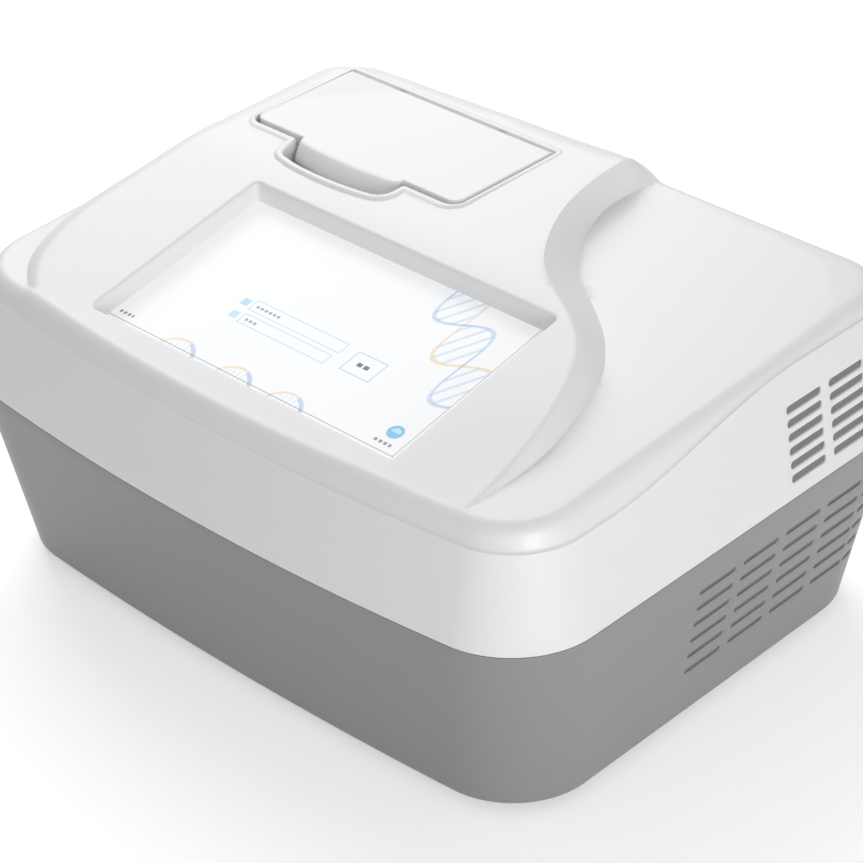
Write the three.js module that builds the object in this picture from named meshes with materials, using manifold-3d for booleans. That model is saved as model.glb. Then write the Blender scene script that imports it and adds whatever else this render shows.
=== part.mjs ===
// A bench-top real-time PCR machine, in millimetres, with +Z up.
// X runs to the right of someone facing the touch screen, Y runs to the back, and the origin
// lies under the middle of the case on the surface that the four feet stand on.
import * as THREE from 'three';
import { mergeVertices } from 'three/addons/utils/BufferGeometryUtils.js';
import Module from 'manifold-3d';

const wasm = await Module();
wasm.setup();

// Clearances
const gap = 0.3;
const overrun = 8;
const halfTurn = Math.PI;
const quarterTurn = Math.PI / 2;

// Case: a tub that tapers down and a shell that flares down meet at the seam, the widest line
const bodyWidth = 450;
const bodyDepth = 355.2;
const seamHeight = 121.6;
const caseWall = 3;
const frontBow = 16;
const frontCornerRadius = 48.5;
const backCornerRadius = 48;
const cornerSteps = 6;
const fineSides = 8;
const pinSides = 10;
const postSides = 12;
const roundSides = 16;
const wideSides = 24;
const wheelSides = 32;
const roundShare = 0.5523;

// Tub
const tubSideTaperShare = 0.148;
const tubFrontTaperShare = 0.213;
const tubBackTaperShare = 0.158;
const tubBottomBow = 8.5;
const tubBottomRadius = 4;
const seamLipHeight = 4;
const seamLipWall = 1.5;
const bossRadius = 6;
const bossHeight = 5;

// Feet
const footHeight = 6;
const footRadius = 12;
const footTipRadius = 10;
const footInsetX = 45;
const footInsetY = 45;
const footBossRadius = 5;
const footBossHeight = 1.5;

// Upper shell: wall, shoulder, plain top and raised island, as rises above the seam
const shellFlareShare = 0.159;
const shoulderFrontRise = 56.4;
const shoulderBackRise = 75.9;
const shoulderRampStart = -95;
const shoulderRampLength = 160;
const shoulderInset = 9;
const topFrontRise = 67.2;
const topSlopeShare = 0.058;
const islandFrontRise = 68.4;
const islandFrontLine = -161.5;
const islandSlopeShare = 0.207;
const islandRearSlopeShare = 0.012;
const foldLine = 3;
const foldSoftness = 8;
const islandEdgeInset = 0.8;

// Island outline in plan, as shares of the box between its left, right, front and back lines.
// Each place has its share of the widest slope that leads down to the plain top, and how far that
// slope is rounded, from 0 for a straight one to 1 for a quarter round.
const islandLeft = -183;
const islandRight = 166;
const islandSlopeWidth = 25;
const islandBackMargin = 7.5;
const islandShares = [
  [0.991, -0.035, 0.1, 0], [0.994, 0.13, 0.2, 0], [0.986, 0.242, 0.28, 0], [0.96, 0.355, 0.36, 0],
  [0.925, 0.432, 0.46, 0], [0.883, 0.492, 0.66, 0], [0.82, 0.541, 0.92, 0], [0.768, 0.583, 1, 0],
  [0.719, 0.643, 0.98, 0], [0.673, 0.721, 0.76, 0], [0.642, 0.799, 0.56, 0], [0.625, 0.877, 0.44, 0],
  [0.62, 0.95, 0.36, 0], [0.616, 0.997, 0.34, 0.1], [0.603, 1.028, 0.85, 0.7], [0.576, 1.033, 1, 0.9],
  [0.496, 1.022, 0.9, 1], [0.352, 1.014, 0.86, 1], [0.209, 1.002, 0.84, 1],
  [0.109, 0.996, 0.84, 1], [0.05, 0.983, 0.86, 1], [0.021, 0.948, 0.86, 1], [0.014, 0.898, 0.84, 1],
  [0.014, 0.7, 0.84, 1], [0.012, 0.5, 0.84, 1], [0.006, 0.395, 0.8, 1],
  [0, 0.29, 0.74, 0.9], [0.009, 0.202, 0.6, 0.7], [0.032, 0.128, 0.46, 0.5], [0.074, 0.068, 0.3, 0.3],
  [0.13, 0.02, 0.18, 0], [0.19, -0.035, 0.1, 0],
];
const rampStepShares = [-0.3, 0, 0.35, 0.65, 0.88, 1, 1.15];
const foldStepShares = [-2.5, -1, 0, 1, 2.5];

// Side and rear vents
const ventPitchY = 37.2;
const ventLength = 30.35;
const ventFirstY = -21.3;
const tubVentRows = 6;
const tubVentColumns = 5;
const tubVentTopDrop = 24.1;
const tubVentPitchZ = 11.3;
const tubVentHeight = 2.8;
const shellVentRows = 6;
const shellVentColumns = 3;
const shellVentSkip = 2;
const shellVentBottomRise = 11.3;
const shellVentPitchZ = 8.14;
const shellVentHeight = 4.4;
const ventCutDepth = 60;
const rearVentColumns = 3;
const rearVentRows = 5;

// Touch screen
const screenWidth = 228.4;
const screenLength = 130.5;
const screenCentreX = -0.6;
const screenFrontLine = -141;
const screenDepth = 12.5;
const screenCornerRadius = 3;
const screenRimWall = 3;
const glassMargin = 2.4;
const glassThickness = 1.8;
const panelThickness = 6;
const panelMargin = 1.5;
const screenBracketThickness = 1.5;
const screenBracketLip = 5;
const screenBracketBorder = 14;

// Sample lid
const lidWidth = 162;
const lidDepth = 83.5;
const lidCentreX = -85.8;
const lidRearInset = 58.1;
const lidThickness = 7;
const lidWall = 2.2;
const lidProud = 1.1;
const lidCornerRadius = 7;
const lidSideGap = 1;
const lidFrontGap = 3;
const lidRimWidth = 3.5;
const lidLedge = 4;
const skirtWall = 2.5;

// Lid hinge: a pin in the lid's round back edge, carried by two brackets under the shell
const pinRadius = 1.1;
const barrelSkin = 0.6;
const knuckleWidth = 5.4;
const knuckleOffset = 40;
const hingeArmHalf = 2.2;
const hingeFootWidth = 22;
const hingeFootLength = 8;
const hingeFootThickness = 2;

// Grip on the lid's front edge, with its profile as shares of its reach and drop, and the
// places of its cross sections as shares of half its width
const gripWidth = 80;
const gripReach = 11;
const gripDrop = 10.7;
const gripThickness = 2.6;
const gripBow = 4;
const gripOuterShares = [[0.45, 0.04], [0.75, 0.22], [0.93, 0.5], [1, 1]];
const gripInnerShares = [[1, 1], [0.9, 0.58], [0.68, 0.4], [0.38, 0.3]];
const gripStationShares = [-1, -0.94, -0.6, -0.2, 0.2, 0.6, 0.94, 1];

// Finger pocket round the grip
const pocketWidth = 90;
const pocketReach = 31.3;
const pocketBow = 6;
const pocketSlant = 7;
const pocketDepth = 15;
const pocketFloor = 2.5;

// Heated cover plate, which hangs in the lid on four posts with springs
const linerThickness = 2;
const springLength = 6.8;
const springWall = 1;
const matThickness = 3;
const plateWidth = 112;
const plateThickness = 6;
const plateFrontGap = 2.8;
const plateBackGap = 0.7;
const postRadius = 2;
const postInset = 10;
const postHeadRadius = 3.2;
const postHeadHeight = 1.2;
const postLedge = 1.5;

// Magnets at the ends of the lid and the steel keepers in the ledge below them
const magnetWidth = 4;
const magnetLength = 14;
const magnetFrontInset = 9;
const keeperThickness = 2;

// Sample block, the deck round it, the Peltier modules and the heat sink
const wellPitch = 9;
const wellColumns = 12;
const wellRows = 8;
const wellTopRadius = 3.1;
const wellBottomRadius = 1.4;
const wellDepth = 14;
const wellSides = 6;
const blockHeight = 20;
const blockMargin = 4;
const blockGapToPlate = 7;
const deckDrop = 1;
const deckThickness = 3;
const deckMargin = 3;
const peltierThickness = 4;
const peltierCount = 3;
const peltierSpacing = 2;
const sinkWidth = 134;
const sinkDepth = 92;
const sinkBase = 10;
const finHeight = 48;
const finCount = 16;
const finThickness = 2;
const standThickness = 2;
const standFlange = 10;
const standWindowMargin = 16;

// Fans behind the heat sink
const fanCount = 2;
const fanSize = 60;
const fanDepth = 25;
const fanSpacing = 1;
const fanBoreRadius = 28;
const fanHubRadius = 12;
const fanBladeRadius = 26;
const fanBladeCount = 7;
const fanBladeThickness = 1.6;
const fanBladeChord = 15;
const fanBladeDegrees = 35;
const fanFrontGap = 2;
const fanSpokeWidth = 4;
const fanSpokeDepth = 3;
const fanShaftRadius = 2;

// Chassis plate
const chassisThickness = 2;
const chassisInset = 16;
const chassisCornerRadius = 24;

// Optics module: a filter wheel on a motor, between a lamp and a detector
const opticsWidth = 130;
const opticsLength = 96;
const opticsHeight = 92;
const opticsWall = 2.5;
const opticsSideShare = 0.211;
const opticsFrontShare = 0.2426;
const wheelRadius = 38;
const wheelThickness = 4;
const wheelFloorGap = 4;
const wheelBoreCircle = 28;
const filterCount = 4;
const filterThickness = 3;
const filterRadius = 5.7;
const motorSize = 28;
const motorLength = 26;
const motorGapToWheel = 8;
const motorBossRadius = 8;
const motorShaftRadius = 2.5;
const motorShaftLength = 10;
const motorBracketThickness = 3;
const motorBracketBorder = 1.5;
const opticTubeRadius = 8;
const opticTubeLength = 10;
const opticBodySize = 22;
const opticBodyLength = 12;
const opticGapToWheel = 1.5;
const fibreBarDepth = 9;
const fibreBarHeight = 14;
const fibreRadius = 5;
const fibreSides = 8;
const fibreSteps = 14;

// Electronics
const boardWidth = 150;
const boardThickness = 1.6;
const boardSideShare = 0.163;
const boardGapToSupply = 17;
const boardHoleInset = 6;
const standoffHeight = 8;
const standoffRadius = 3.5;
const chipSize = 28;
const chipHeight = 3;
const chipSpacing = 42;
const coolerHeight = 14;
const coolerBase = 3;
const coolerFinCount = 6;
const coolerFinThickness = 1.6;
const supplyWidth = 98;
const supplyDepth = 120;
const supplyHeight = 45;
const supplySideInset = 22.9;
const supplyBackInset = 33.3;
const supplyWall = 1.5;
const supplyWindowMargin = 8;

// Connector plate in the rear wall of the tub
const ioWidth = 140;
const ioHeight = 62;
const ioThickness = 2;
const ioSideInset = 133;
const ioCentreHeight = 66;
const ioMargin = 8;
const ioScrewInset = 4;
const screwHeadRadius = 2.8;
const screwHeadHeight = 1.6;
const screwShankRadius = 1.3;
const screwShankLength = 6;

// Mains inlet with its rocker switch
const inletWidth = 28;
const inletHeight = 48;
const inletDepth = 24;
const inletOffsetX = 40;
const inletFlange = 3.5;
const inletFlangeThickness = 2.5;
const socketWidth = 24;
const socketHeight = 16;
const socketDepth = 15;
const socketOffsetZ = -10;
const contactWidth = 2;
const contactHeight = 4;
const contactLength = 10;
const contactSpacing = 7;
const rockerWidth = 12.4;
const rockerHeight = 15.2;
const rockerThickness = 5;
const rockerHollow = 1.3;
const rockerProud = 2.2;
const rockerOffsetZ = 11.5;
const rockerPivotDepth = 2;
const rockerPivotRadius = 1;
const rockerPivotReach = 0.9;
const rockerDegrees = 8;
const rockerRoomBehind = 2.5;

// Data ports
const usbWidth = 14.5;
const usbHeight = 7;
const usbDepth = 14;
const usbSpacing = 24;
const usbFirstX = -50;
const networkWidth = 16;
const networkHeight = 14;
const networkDepth = 20;
const networkX = 0;
const portOffsetZ = 10;
const portWall = 1;
const portProud = 0.5;

// Heights that several pieces share
const tubTop = seamHeight - gap / 2;
const shellBottom = seamHeight + gap / 2;
const halfWidth = bodyWidth / 2;
const halfDepth = bodyDepth / 2;
const lidRear = halfDepth - lidRearInset;
const lidFront = lidRear - lidDepth;
const lidTop = islandHeight((lidRear + lidFront) / 2) + lidProud;
const lidBottom = lidTop - lidThickness;
const barrelRadius = lidThickness / 2;
const hingeY = lidRear - barrelRadius;
const hingeZ = lidTop - barrelRadius;
const ledgeTop = lidBottom - gap;
const ledgeBottom = ledgeTop - lidLedge;
const openingFront = lidFront + caseWall;
const openingBack = hingeY - hingeArmHalf - gap - skirtWall;
const openingHalf = lidWidth / 2 - lidWall - magnetWidth - 2 * gap;
const openingCentreY = (openingFront + openingBack) / 2;
const islandBack = lidRear + islandBackMargin;
const screenTilt = Math.atan(islandSlopeShare);

const linerTop = lidTop - lidWall - gap;
const linerBottom = linerTop - linerThickness;
const springTop = linerBottom - gap;
const springBottom = springTop - springLength;
const matTop = springBottom - gap;
const matBottom = matTop - matThickness;
const plateTop = matBottom - gap;
const plateBottom = plateTop - plateThickness;
const plateFront = openingFront + plateFrontGap;
const plateBack = openingBack - plateBackGap;
const blockTop = plateBottom - blockGapToPlate;
const blockBottom = blockTop - blockHeight;
const blockWidth = (wellColumns - 1) * wellPitch + 2 * blockMargin;
const blockDepth = (wellRows - 1) * wellPitch + 2 * blockMargin;
const blockFront = openingCentreY - blockDepth / 2;
const skirtBottom = blockTop - deckDrop;
const sinkTop = blockBottom - peltierThickness - 2 * gap;
const finTop = sinkTop - sinkBase;
const finBottom = finTop - finHeight;
const sinkBack = openingCentreY + sinkDepth / 2;
const fanFront = sinkBack + gap;
const fanCentreZ = (finTop + finBottom) / 2;
const chassisBottom = footHeight + caseWall + bossHeight + gap;
const chassisTop = chassisBottom + chassisThickness;
const seatHeight = chassisTop + gap;

// Height of the island's top above the floor at a place along Y: two slopes and a soft fold
function islandHeight(y) {
  const along = y - foldLine;
  const foldHeight = seamHeight + islandFrontRise + islandSlopeShare * (foldLine - islandFrontLine);
  const mean = (islandSlopeShare + islandRearSlopeShare) / 2;
  const turn = (islandSlopeShare - islandRearSlopeShare) / 2;
  return foldHeight + mean * along - turn * Math.hypot(along, foldSoftness);
}

// Height of the plain top, which the island stands on
function topHeight(y) {
  return seamHeight + topFrontRise + topSlopeShare * (y + halfDepth);
}

// Height of the crease between the side wall and the shoulder
function shoulderHeight(y) {
  const t = THREE.MathUtils.smoothstep(y, shoulderRampStart, shoulderRampStart + shoulderRampLength);
  return seamHeight + THREE.MathUtils.lerp(shoulderFrontRise, shoulderBackRise, t);
}

// Case outline in plan, counter-clockwise from the left end of the bowed front
function outline(size) {
  const { side, front, back, bow, frontRadius, backRadius } = size;
  const run = side - frontRadius;
  const sideY = front + bow * (run / side) ** 2;
  const slope = 2 * bow * run / side ** 2;
  const cornerY = sideY + slope * frontRadius;
  const path = new THREE.Path();
  path.moveTo(-run, sideY);
  path.quadraticCurveTo(0, 2 * front - sideY, run, sideY);
  const near = 1 - roundShare;
  path.bezierCurveTo(
    run + frontRadius * roundShare, sideY + slope * frontRadius * roundShare,
    side, cornerY + frontRadius * near, side, cornerY + frontRadius,
  );
  path.lineTo(side, back - backRadius);
  path.bezierCurveTo(
    side, back - backRadius * near, side - backRadius * near, back, side - backRadius, back,
  );
  path.lineTo(backRadius - side, back);
  path.bezierCurveTo(
    backRadius * near - side, back, -side, back - backRadius * near, -side, back - backRadius,
  );
  path.lineTo(-side, cornerY + frontRadius);
  path.bezierCurveTo(
    -side, cornerY + frontRadius * near,
    -run - frontRadius * roundShare, sideY + slope * frontRadius * roundShare, -run, sideY,
  );
  const points = path.getPoints(cornerSteps);
  points.pop();
  return points;
}

// Outline of the upper shell, drawn in by a distance from the seam line
function shellOutline(inset) {
  return outline({
    side: halfWidth - inset,
    front: inset - halfDepth,
    back: halfDepth - inset,
    bow: frontBow,
    frontRadius: frontCornerRadius - inset,
    backRadius: backCornerRadius - inset,
  });
}

// Outline of the tub at a height, drawn in by the wall on top of the taper
function tubOutline(height, inset) {
  const drop = seamHeight - height;
  const depthShare = drop / (seamHeight - footHeight);
  return outline({
    side: halfWidth - tubSideTaperShare * drop - inset,
    front: inset + tubFrontTaperShare * drop - halfDepth,
    back: halfDepth - tubBackTaperShare * drop - inset,
    bow: THREE.MathUtils.lerp(frontBow, tubBottomBow, depthShare),
    frontRadius: frontCornerRadius - inset,
    backRadius: backCornerRadius - inset,
  });
}

// A ring of 3-D points from plan points and a height, or a function that gives it
function ringAt(points, height) {
  const heightOf = typeof height === 'function' ? height : () => height;
  return points.map((p) => new THREE.Vector3(p.x, p.y, heightOf(p)));
}

// A closed skin through rings of equal count, with both ends capped in plan or across an axis
function loft(rings, capAxis = 'z') {
  const count = rings[0].length;
  const positions = rings.flat().flatMap((p) => [p.x, p.y, p.z]);
  const index = [];
  for (let r = 0; r + 1 < rings.length; r += 1) {
    for (let i = 0; i < count; i += 1) {
      const a = r * count + i;
      const b = r * count + (i + 1) % count;
      index.push(a, b, b + count, a, b + count, a + count);
    }
  }
  const flat = (p) => (capAxis === 'z' ? new THREE.Vector2(p.x, p.y) : new THREE.Vector2(p.y, p.z));
  const last = (rings.length - 1) * count;
  for (const [a, b, c] of THREE.ShapeUtils.triangulateShape(rings[0].map(flat), [])) {
    index.push(c, b, a);
  }
  for (const [a, b, c] of THREE.ShapeUtils.triangulateShape(rings.at(-1).map(flat), [])) {
    index.push(last + a, last + b, last + c);
  }
  const geometry = new THREE.BufferGeometry();
  geometry.setAttribute('position', new THREE.Float32BufferAttribute(positions, 3));
  geometry.setIndex(index);
  return geometry;
}

// Solids for joining and cutting
function solid(geometry) {
  const bare = geometry.clone();
  bare.deleteAttribute('normal');
  bare.deleteAttribute('uv');
  const merged = mergeVertices(bare, 1e-4);
  return new wasm.Manifold(new wasm.Mesh({
    numProp: 3,
    vertProperties: new Float32Array(merged.attributes.position.array),
    triVerts: new Uint32Array(merged.index.array),
  }));
}

function geometryOf(shape) {
  const mesh = shape.getMesh();
  const geometry = new THREE.BufferGeometry();
  geometry.setAttribute('position', new THREE.Float32BufferAttribute(mesh.vertProperties, 3));
  geometry.setIndex(Array.from(mesh.triVerts));
  const loose = geometry.toNonIndexed();
  loose.computeVertexNormals();
  return loose;
}

function joined(shapes) {
  return shapes.reduce((whole, shape) => whole.add(shape));
}

// A box given by its lowest and highest corners
function block(low, high) {
  const size = high.map((value, i) => value - low[i]);
  const box = new THREE.BoxGeometry(...size);
  box.translate(...low.map((value, i) => value + size[i] / 2));
  return solid(box);
}

// A round bar along an axis from one place to another on it
function bar(axis, radius, from, to, at = [0, 0], sides = roundSides, endRadius = radius) {
  const rod = new THREE.CylinderGeometry(endRadius, radius, to - from, sides);
  rod.translate(0, (from + to) / 2, 0);
  if (axis === 'z') {
    rod.rotateX(quarterTurn);
    rod.translate(at[0], at[1], 0);
  } else if (axis === 'x') {
    rod.rotateZ(-quarterTurn);
    rod.translate(0, at[0], at[1]);
  } else {
    rod.translate(at[0], 0, at[1]);
  }
  return solid(rod);
}

// A flat plate with rounded corners, from a low height to a high one
function roundedPlate(centre, width, depth, radius, low, high) {
  const x = centre[0] - width / 2;
  const y = centre[1] - depth / 2;
  const shape = new THREE.Shape();
  shape.moveTo(x + radius, y);
  shape.lineTo(x + width - radius, y);
  shape.absarc(x + width - radius, y + radius, radius, -quarterTurn, 0);
  shape.absarc(x + width - radius, y + depth - radius, radius, 0, quarterTurn);
  shape.absarc(x + radius, y + depth - radius, radius, quarterTurn, halfTurn);
  shape.absarc(x + radius, y + radius, radius, halfTurn, halfTurn + quarterTurn);
  return prism(shape, low, high);
}

function prism(shape, low, high, steps = cornerSteps / 2) {
  const geometry = new THREE.ExtrudeGeometry(shape, {
    depth: high - low, bevelEnabled: false, curveSegments: steps,
  });
  geometry.translate(0, 0, low);
  return solid(geometry);
}

// An outline in Y and Z, drawn out along X
function prismAlongX(points, low, high) {
  const shape = new THREE.Shape(points.map(([y, z]) => new THREE.Vector2(y, z)));
  const geometry = new THREE.ExtrudeGeometry(shape, { depth: high - low, bevelEnabled: false });
  geometry.rotateX(quarterTurn);
  geometry.rotateZ(quarterTurn);
  geometry.translate(low, 0, 0);
  return solid(geometry);
}

// An outline in X and Z, drawn out along Y
function prismAlongY(points, low, high) {
  const shape = new THREE.Shape(points.map(([x, z]) => new THREE.Vector2(x, z)));
  const geometry = new THREE.ExtrudeGeometry(shape, { depth: high - low, bevelEnabled: false });
  geometry.rotateX(quarterTurn);
  geometry.translate(0, high, 0);
  return solid(geometry);
}

const machine = new THREE.Group();

function addPart(name, shape, look, parent = machine) {
  const [color, roughness, metalness] = look;
  const material = new THREE.MeshStandardMaterial({ color, roughness, metalness });
  const mesh = new THREE.Mesh(shape.isBufferGeometry ? shape : geometryOf(shape), material);
  mesh.name = name;
  parent.add(mesh);
  return mesh;
}

function groupAt(x, y, z, parent = machine) {
  const group = new THREE.Group();
  group.position.set(x, y, z);
  parent.add(group);
  return group;
}

// Looks: colour, roughness, metalness
const whiteShell = [0xf1f1ef, 0.38, 0];
const greyTub = [0x8b8d8a, 0.45, 0];
const blackRubber = [0x1d1d1e, 0.85, 0];
const darkPlastic = [0x2b2c2e, 0.55, 0];
const steel = [0xb4b6b8, 0.38, 0.9];
const aluminium = [0xc6c8ca, 0.32, 0.9];
const screenWhite = [0xfbfcfd, 0.12, 0];
const ceramicWhite = [0xe9e7e0, 0.6, 0];
const boardGreen = [0x1f5a3a, 0.5, 0];
const filterGlass = [0x7fa8d8, 0.1, 0];
const siliconeOrange = [0xc2622f, 0.7, 0];
const fibreBlack = [0x202124, 0.6, 0];

// Tub and its vents

function tubSkin(inset, floorHeight, topHeightOfSkin) {
  const low = tubOutline(floorHeight, inset + tubBottomRadius);
  const rise = tubOutline(floorHeight + tubBottomRadius, inset);
  const high = tubOutline(topHeightOfSkin, inset);
  return solid(loft([
    ringAt(low, floorHeight),
    ringAt(rise, floorHeight + tubBottomRadius),
    ringAt(high, topHeightOfSkin),
  ]));
}

function ventRows(rows, columns, firstColumn, topRow, pitch, height) {
  const cuts = [];
  for (let row = 0; row < rows; row += 1) {
    const z = topRow - row * pitch;
    for (let column = 0; column < columns; column += 1) {
      const y = ventFirstY + (column + firstColumn) * ventPitchY;
      for (const side of [1, -1]) {
        const inner = side * (halfWidth - ventCutDepth);
        const outer = side * (halfWidth + overrun);
        cuts.push(block(
          [Math.min(inner, outer), y, z - height / 2],
          [Math.max(inner, outer), y + ventLength, z + height / 2],
        ));
      }
    }
  }
  return cuts;
}

const footX = halfWidth - tubSideTaperShare * (seamHeight - footHeight) - footInsetX;
const footFrontY = tubFrontTaperShare * (seamHeight - footHeight) + footInsetY - halfDepth;
const footBackY = halfDepth - tubBackTaperShare * (seamHeight - footHeight) - footInsetY;
const footPlaces = [
  ['front_left', -footX, footFrontY], ['front_right', footX, footFrontY],
  ['back_left', -footX, footBackY], ['back_right', footX, footBackY],
];

// Edges of the chassis plate, and the places of what stands on it: the optics module and the main
// board share the room that they leave across the plate, and the board fills the front of it up
// to the power supply
const chassisHalf = footX + footInsetX - chassisInset;
const chassisFront = footFrontY - footInsetY + chassisInset;
const chassisBack = footBackY + footInsetY - chassisInset;
const sideRoom = 2 * chassisHalf - opticsWidth - boardWidth;
const opticsRoom = openingCentreY - sinkDepth / 2 - chassisFront - opticsLength;
const opticsCentreX = opticsSideShare * sideRoom + opticsWidth / 2 - chassisHalf;
const opticsCentreY = chassisFront + opticsFrontShare * opticsRoom + opticsLength / 2;
const supplyCentreX = chassisHalf - supplySideInset - supplyWidth / 2;
const supplyCentreY = chassisBack - supplyBackInset - supplyDepth / 2;
const boardBack = supplyCentreY - supplyDepth / 2 - boardGapToSupply;
const boardDepth = boardBack - chassisFront;
const boardCentreX = chassisHalf - boardSideShare * sideRoom - boardWidth / 2;
const boardCentreY = (chassisFront + boardBack) / 2;

// Frame of the connector plate, which lies in the sloping rear wall of the tub
const ioCentreX = halfWidth - ioSideInset;
const rearTilt = Math.atan(tubBackTaperShare);
const ioSurfaceY = halfDepth - tubBackTaperShare * (seamHeight - ioCentreHeight);

function inRearWall(geometryOrSolid) {
  const turn = new THREE.Matrix4().makeRotationX(-rearTilt);
  turn.setPosition(ioCentreX, ioSurfaceY, ioCentreHeight);
  return solid(geometryOf(geometryOrSolid).applyMatrix4(turn));
}

function makeTub() {
  let tub = tubSkin(0, footHeight, tubTop);
  tub = tub.subtract(tubSkin(caseWall, footHeight + caseWall, tubTop + overrun));
  const lipOutside = loft([
    ringAt(tubOutline(seamHeight, caseWall + gap), tubTop - seamLipHeight),
    ringAt(shellOutline(caseWall + gap + shellFlareShare * seamLipHeight), tubTop + seamLipHeight),
  ]);
  const lipInside = loft([
    ringAt(tubOutline(seamHeight, caseWall + gap + seamLipWall), tubTop - seamLipHeight - overrun),
    ringAt(
      shellOutline(caseWall + gap + seamLipWall + shellFlareShare * seamLipHeight),
      tubTop + seamLipHeight + overrun,
    ),
  ]);
  const shelf = loft([
    ringAt(tubOutline(tubTop - seamLipHeight, caseWall / 2), tubTop - seamLipHeight),
    ringAt(tubOutline(tubTop, caseWall / 2), tubTop),
  ]);
  tub = tub.add(solid(lipOutside).add(solid(shelf)).subtract(solid(lipInside)));
  for (const [, x, y] of footPlaces) {
    const bossTop = footHeight + caseWall + bossHeight;
    const socketTop = footHeight + footBossHeight + gap;
    tub = tub.add(bar('z', bossRadius, footHeight + caseWall / 2, bossTop, [x, y], postSides));
    tub = tub.subtract(bar('z', footBossRadius + gap, footHeight - overrun, socketTop, [x, y], postSides));
  }
  tub = tub.subtract(joined(ventRows(
    tubVentRows, tubVentColumns, 0, seamHeight - tubVentTopDrop, tubVentPitchZ, tubVentHeight,
  )));
  const seat = inRearWall(block(
    [-ioWidth / 2 - gap, -ioThickness - gap, -ioHeight / 2 - gap],
    [ioWidth / 2 + gap, overrun, ioHeight / 2 + gap],
  ));
  const window = inRearWall(block(
    [ioMargin - ioWidth / 2, -overrun, -inletHeight / 2 - 2 * gap],
    [ioWidth / 2 - ioMargin, overrun, inletHeight / 2 + 2 * gap],
  ));
  tub = tub.subtract(seat).subtract(window);
  for (const side of [-1, 1]) {
    const place = [side * (ioWidth / 2 - ioScrewInset), 0];
    tub = tub.subtract(inRearWall(bar('y', screwShankRadius + gap, -overrun, overrun, place, pinSides)));
  }
  return tub;
}

// Upper shell

function caseDome(inset, bottom) {
  const drop = inset;
  const place = (d) => shellOutline(inset + d);
  const base = place(0);
  const full = place(1);
  const drawnIn = (distanceOf, heightOf) => base.map((p, i) => {
    const step = new THREE.Vector2().subVectors(full[i], p);
    const height = heightOf(p.y) - drop;
    const q = p.clone().addScaledVector(step, distanceOf(height));
    return new THREE.Vector3(q.x, q.y, height);
  });
  const flare = (height) => shellFlareShare * (height - seamHeight);
  const rings = [
    base.map((p, i) => {
      const step = new THREE.Vector2().subVectors(full[i], p);
      const q = p.clone().addScaledVector(step, flare(bottom));
      return new THREE.Vector3(q.x, q.y, bottom);
    }),
    drawnIn(flare, shoulderHeight),
    drawnIn(
      (height) => flare(height) + shoulderInset / 3,
      (y) => THREE.MathUtils.lerp(shoulderHeight(y), topHeight(y), 2 / 3),
    ),
    drawnIn((height) => flare(height) + shoulderInset, topHeight),
  ];
  return solid(loft(rings));
}

function islandPlan() {
  const depth = islandBack - islandFrontLine;
  const width = islandRight - islandLeft;
  return islandShares.map(([xShare, yShare, slopeShare, roundness]) => ({
    point: new THREE.Vector2(islandLeft + xShare * width, islandFrontLine + yShare * depth),
    slope: slopeShare * islandSlopeWidth,
    roundness,
  }));
}

function outwardNormals(points) {
  return points.map((p, i) => {
    const before = points.at(i - 1);
    const after = points[(i + 1) % points.length];
    return new THREE.Vector2(after.y - before.y, before.x - after.x).normalize();
  });
}

// Share of a slope's width that is left at a share of its height
function rampReachShare(share, roundness) {
  const straight = 1 - share;
  const round = share < 0 ? 1 : Math.sqrt(Math.max(0, 1 - share * share)) - Math.max(0, share - 1);
  return THREE.MathUtils.lerp(straight, round, roundness);
}

function islandSolid(inset) {
  const plan = islandPlan();
  const normals = outwardNormals(plan.map((entry) => entry.point));
  const at = (share) => plan.map(({ point, slope, roundness }, i) => {
    const foot = point.clone().addScaledVector(normals[i], slope);
    const top = islandHeight(point.y);
    const reach = rampReachShare(share, roundness) * slope - inset;
    const q = point.clone().addScaledVector(normals[i], reach);
    return new THREE.Vector3(q.x, q.y, THREE.MathUtils.lerp(topHeight(foot.y), top, share) - inset);
  });
  const slopes = rampStepShares.map(at);
  const lifted = slopes.at(-1).map((p) => new THREE.Vector3(p.x, p.y, lidTop + overrun));
  const ramp = solid(loft([...slopes, lifted]));
  const low = seamHeight + shoulderFrontRise - inset;
  const profile = foldStepShares.map((share) => {
    const y = foldLine + share * foldSoftness;
    return [y, islandHeight(y) - inset];
  });
  profile.unshift([-halfDepth, islandHeight(-halfDepth) - inset]);
  profile.push([halfDepth, islandHeight(halfDepth) - inset], [halfDepth, low], [-halfDepth, low]);
  const wedge = prismAlongX(profile, -halfWidth, halfWidth);
  const frontRise = topHeight(-halfDepth) - seamHeight;
  const edge = shellOutline(shellFlareShare * frontRise + shoulderInset + islandEdgeInset + inset);
  const limit = solid(loft([ringAt(edge, low), ringAt(edge, lidTop + overrun)]));
  return ramp.intersect(wedge).intersect(limit);
}

// The lid's pan: a ledge that the lid rests on, with a bead round it
function lidPan(grow, low, high) {
  const width = lidWidth + 2 * (lidSideGap + grow);
  const depth = lidDepth + lidFrontGap + lidSideGap + 2 * grow;
  const centreY = (lidRear + lidSideGap + lidFront - lidFrontGap) / 2;
  const squareBack = block(
    [lidCentreX - width / 2, hingeY - lidCornerRadius, low],
    [lidCentreX + width / 2, centreY + depth / 2, high],
  );
  return roundedPlate([lidCentreX, centreY], width, depth, lidCornerRadius, low, high).add(squareBack);
}

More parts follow.
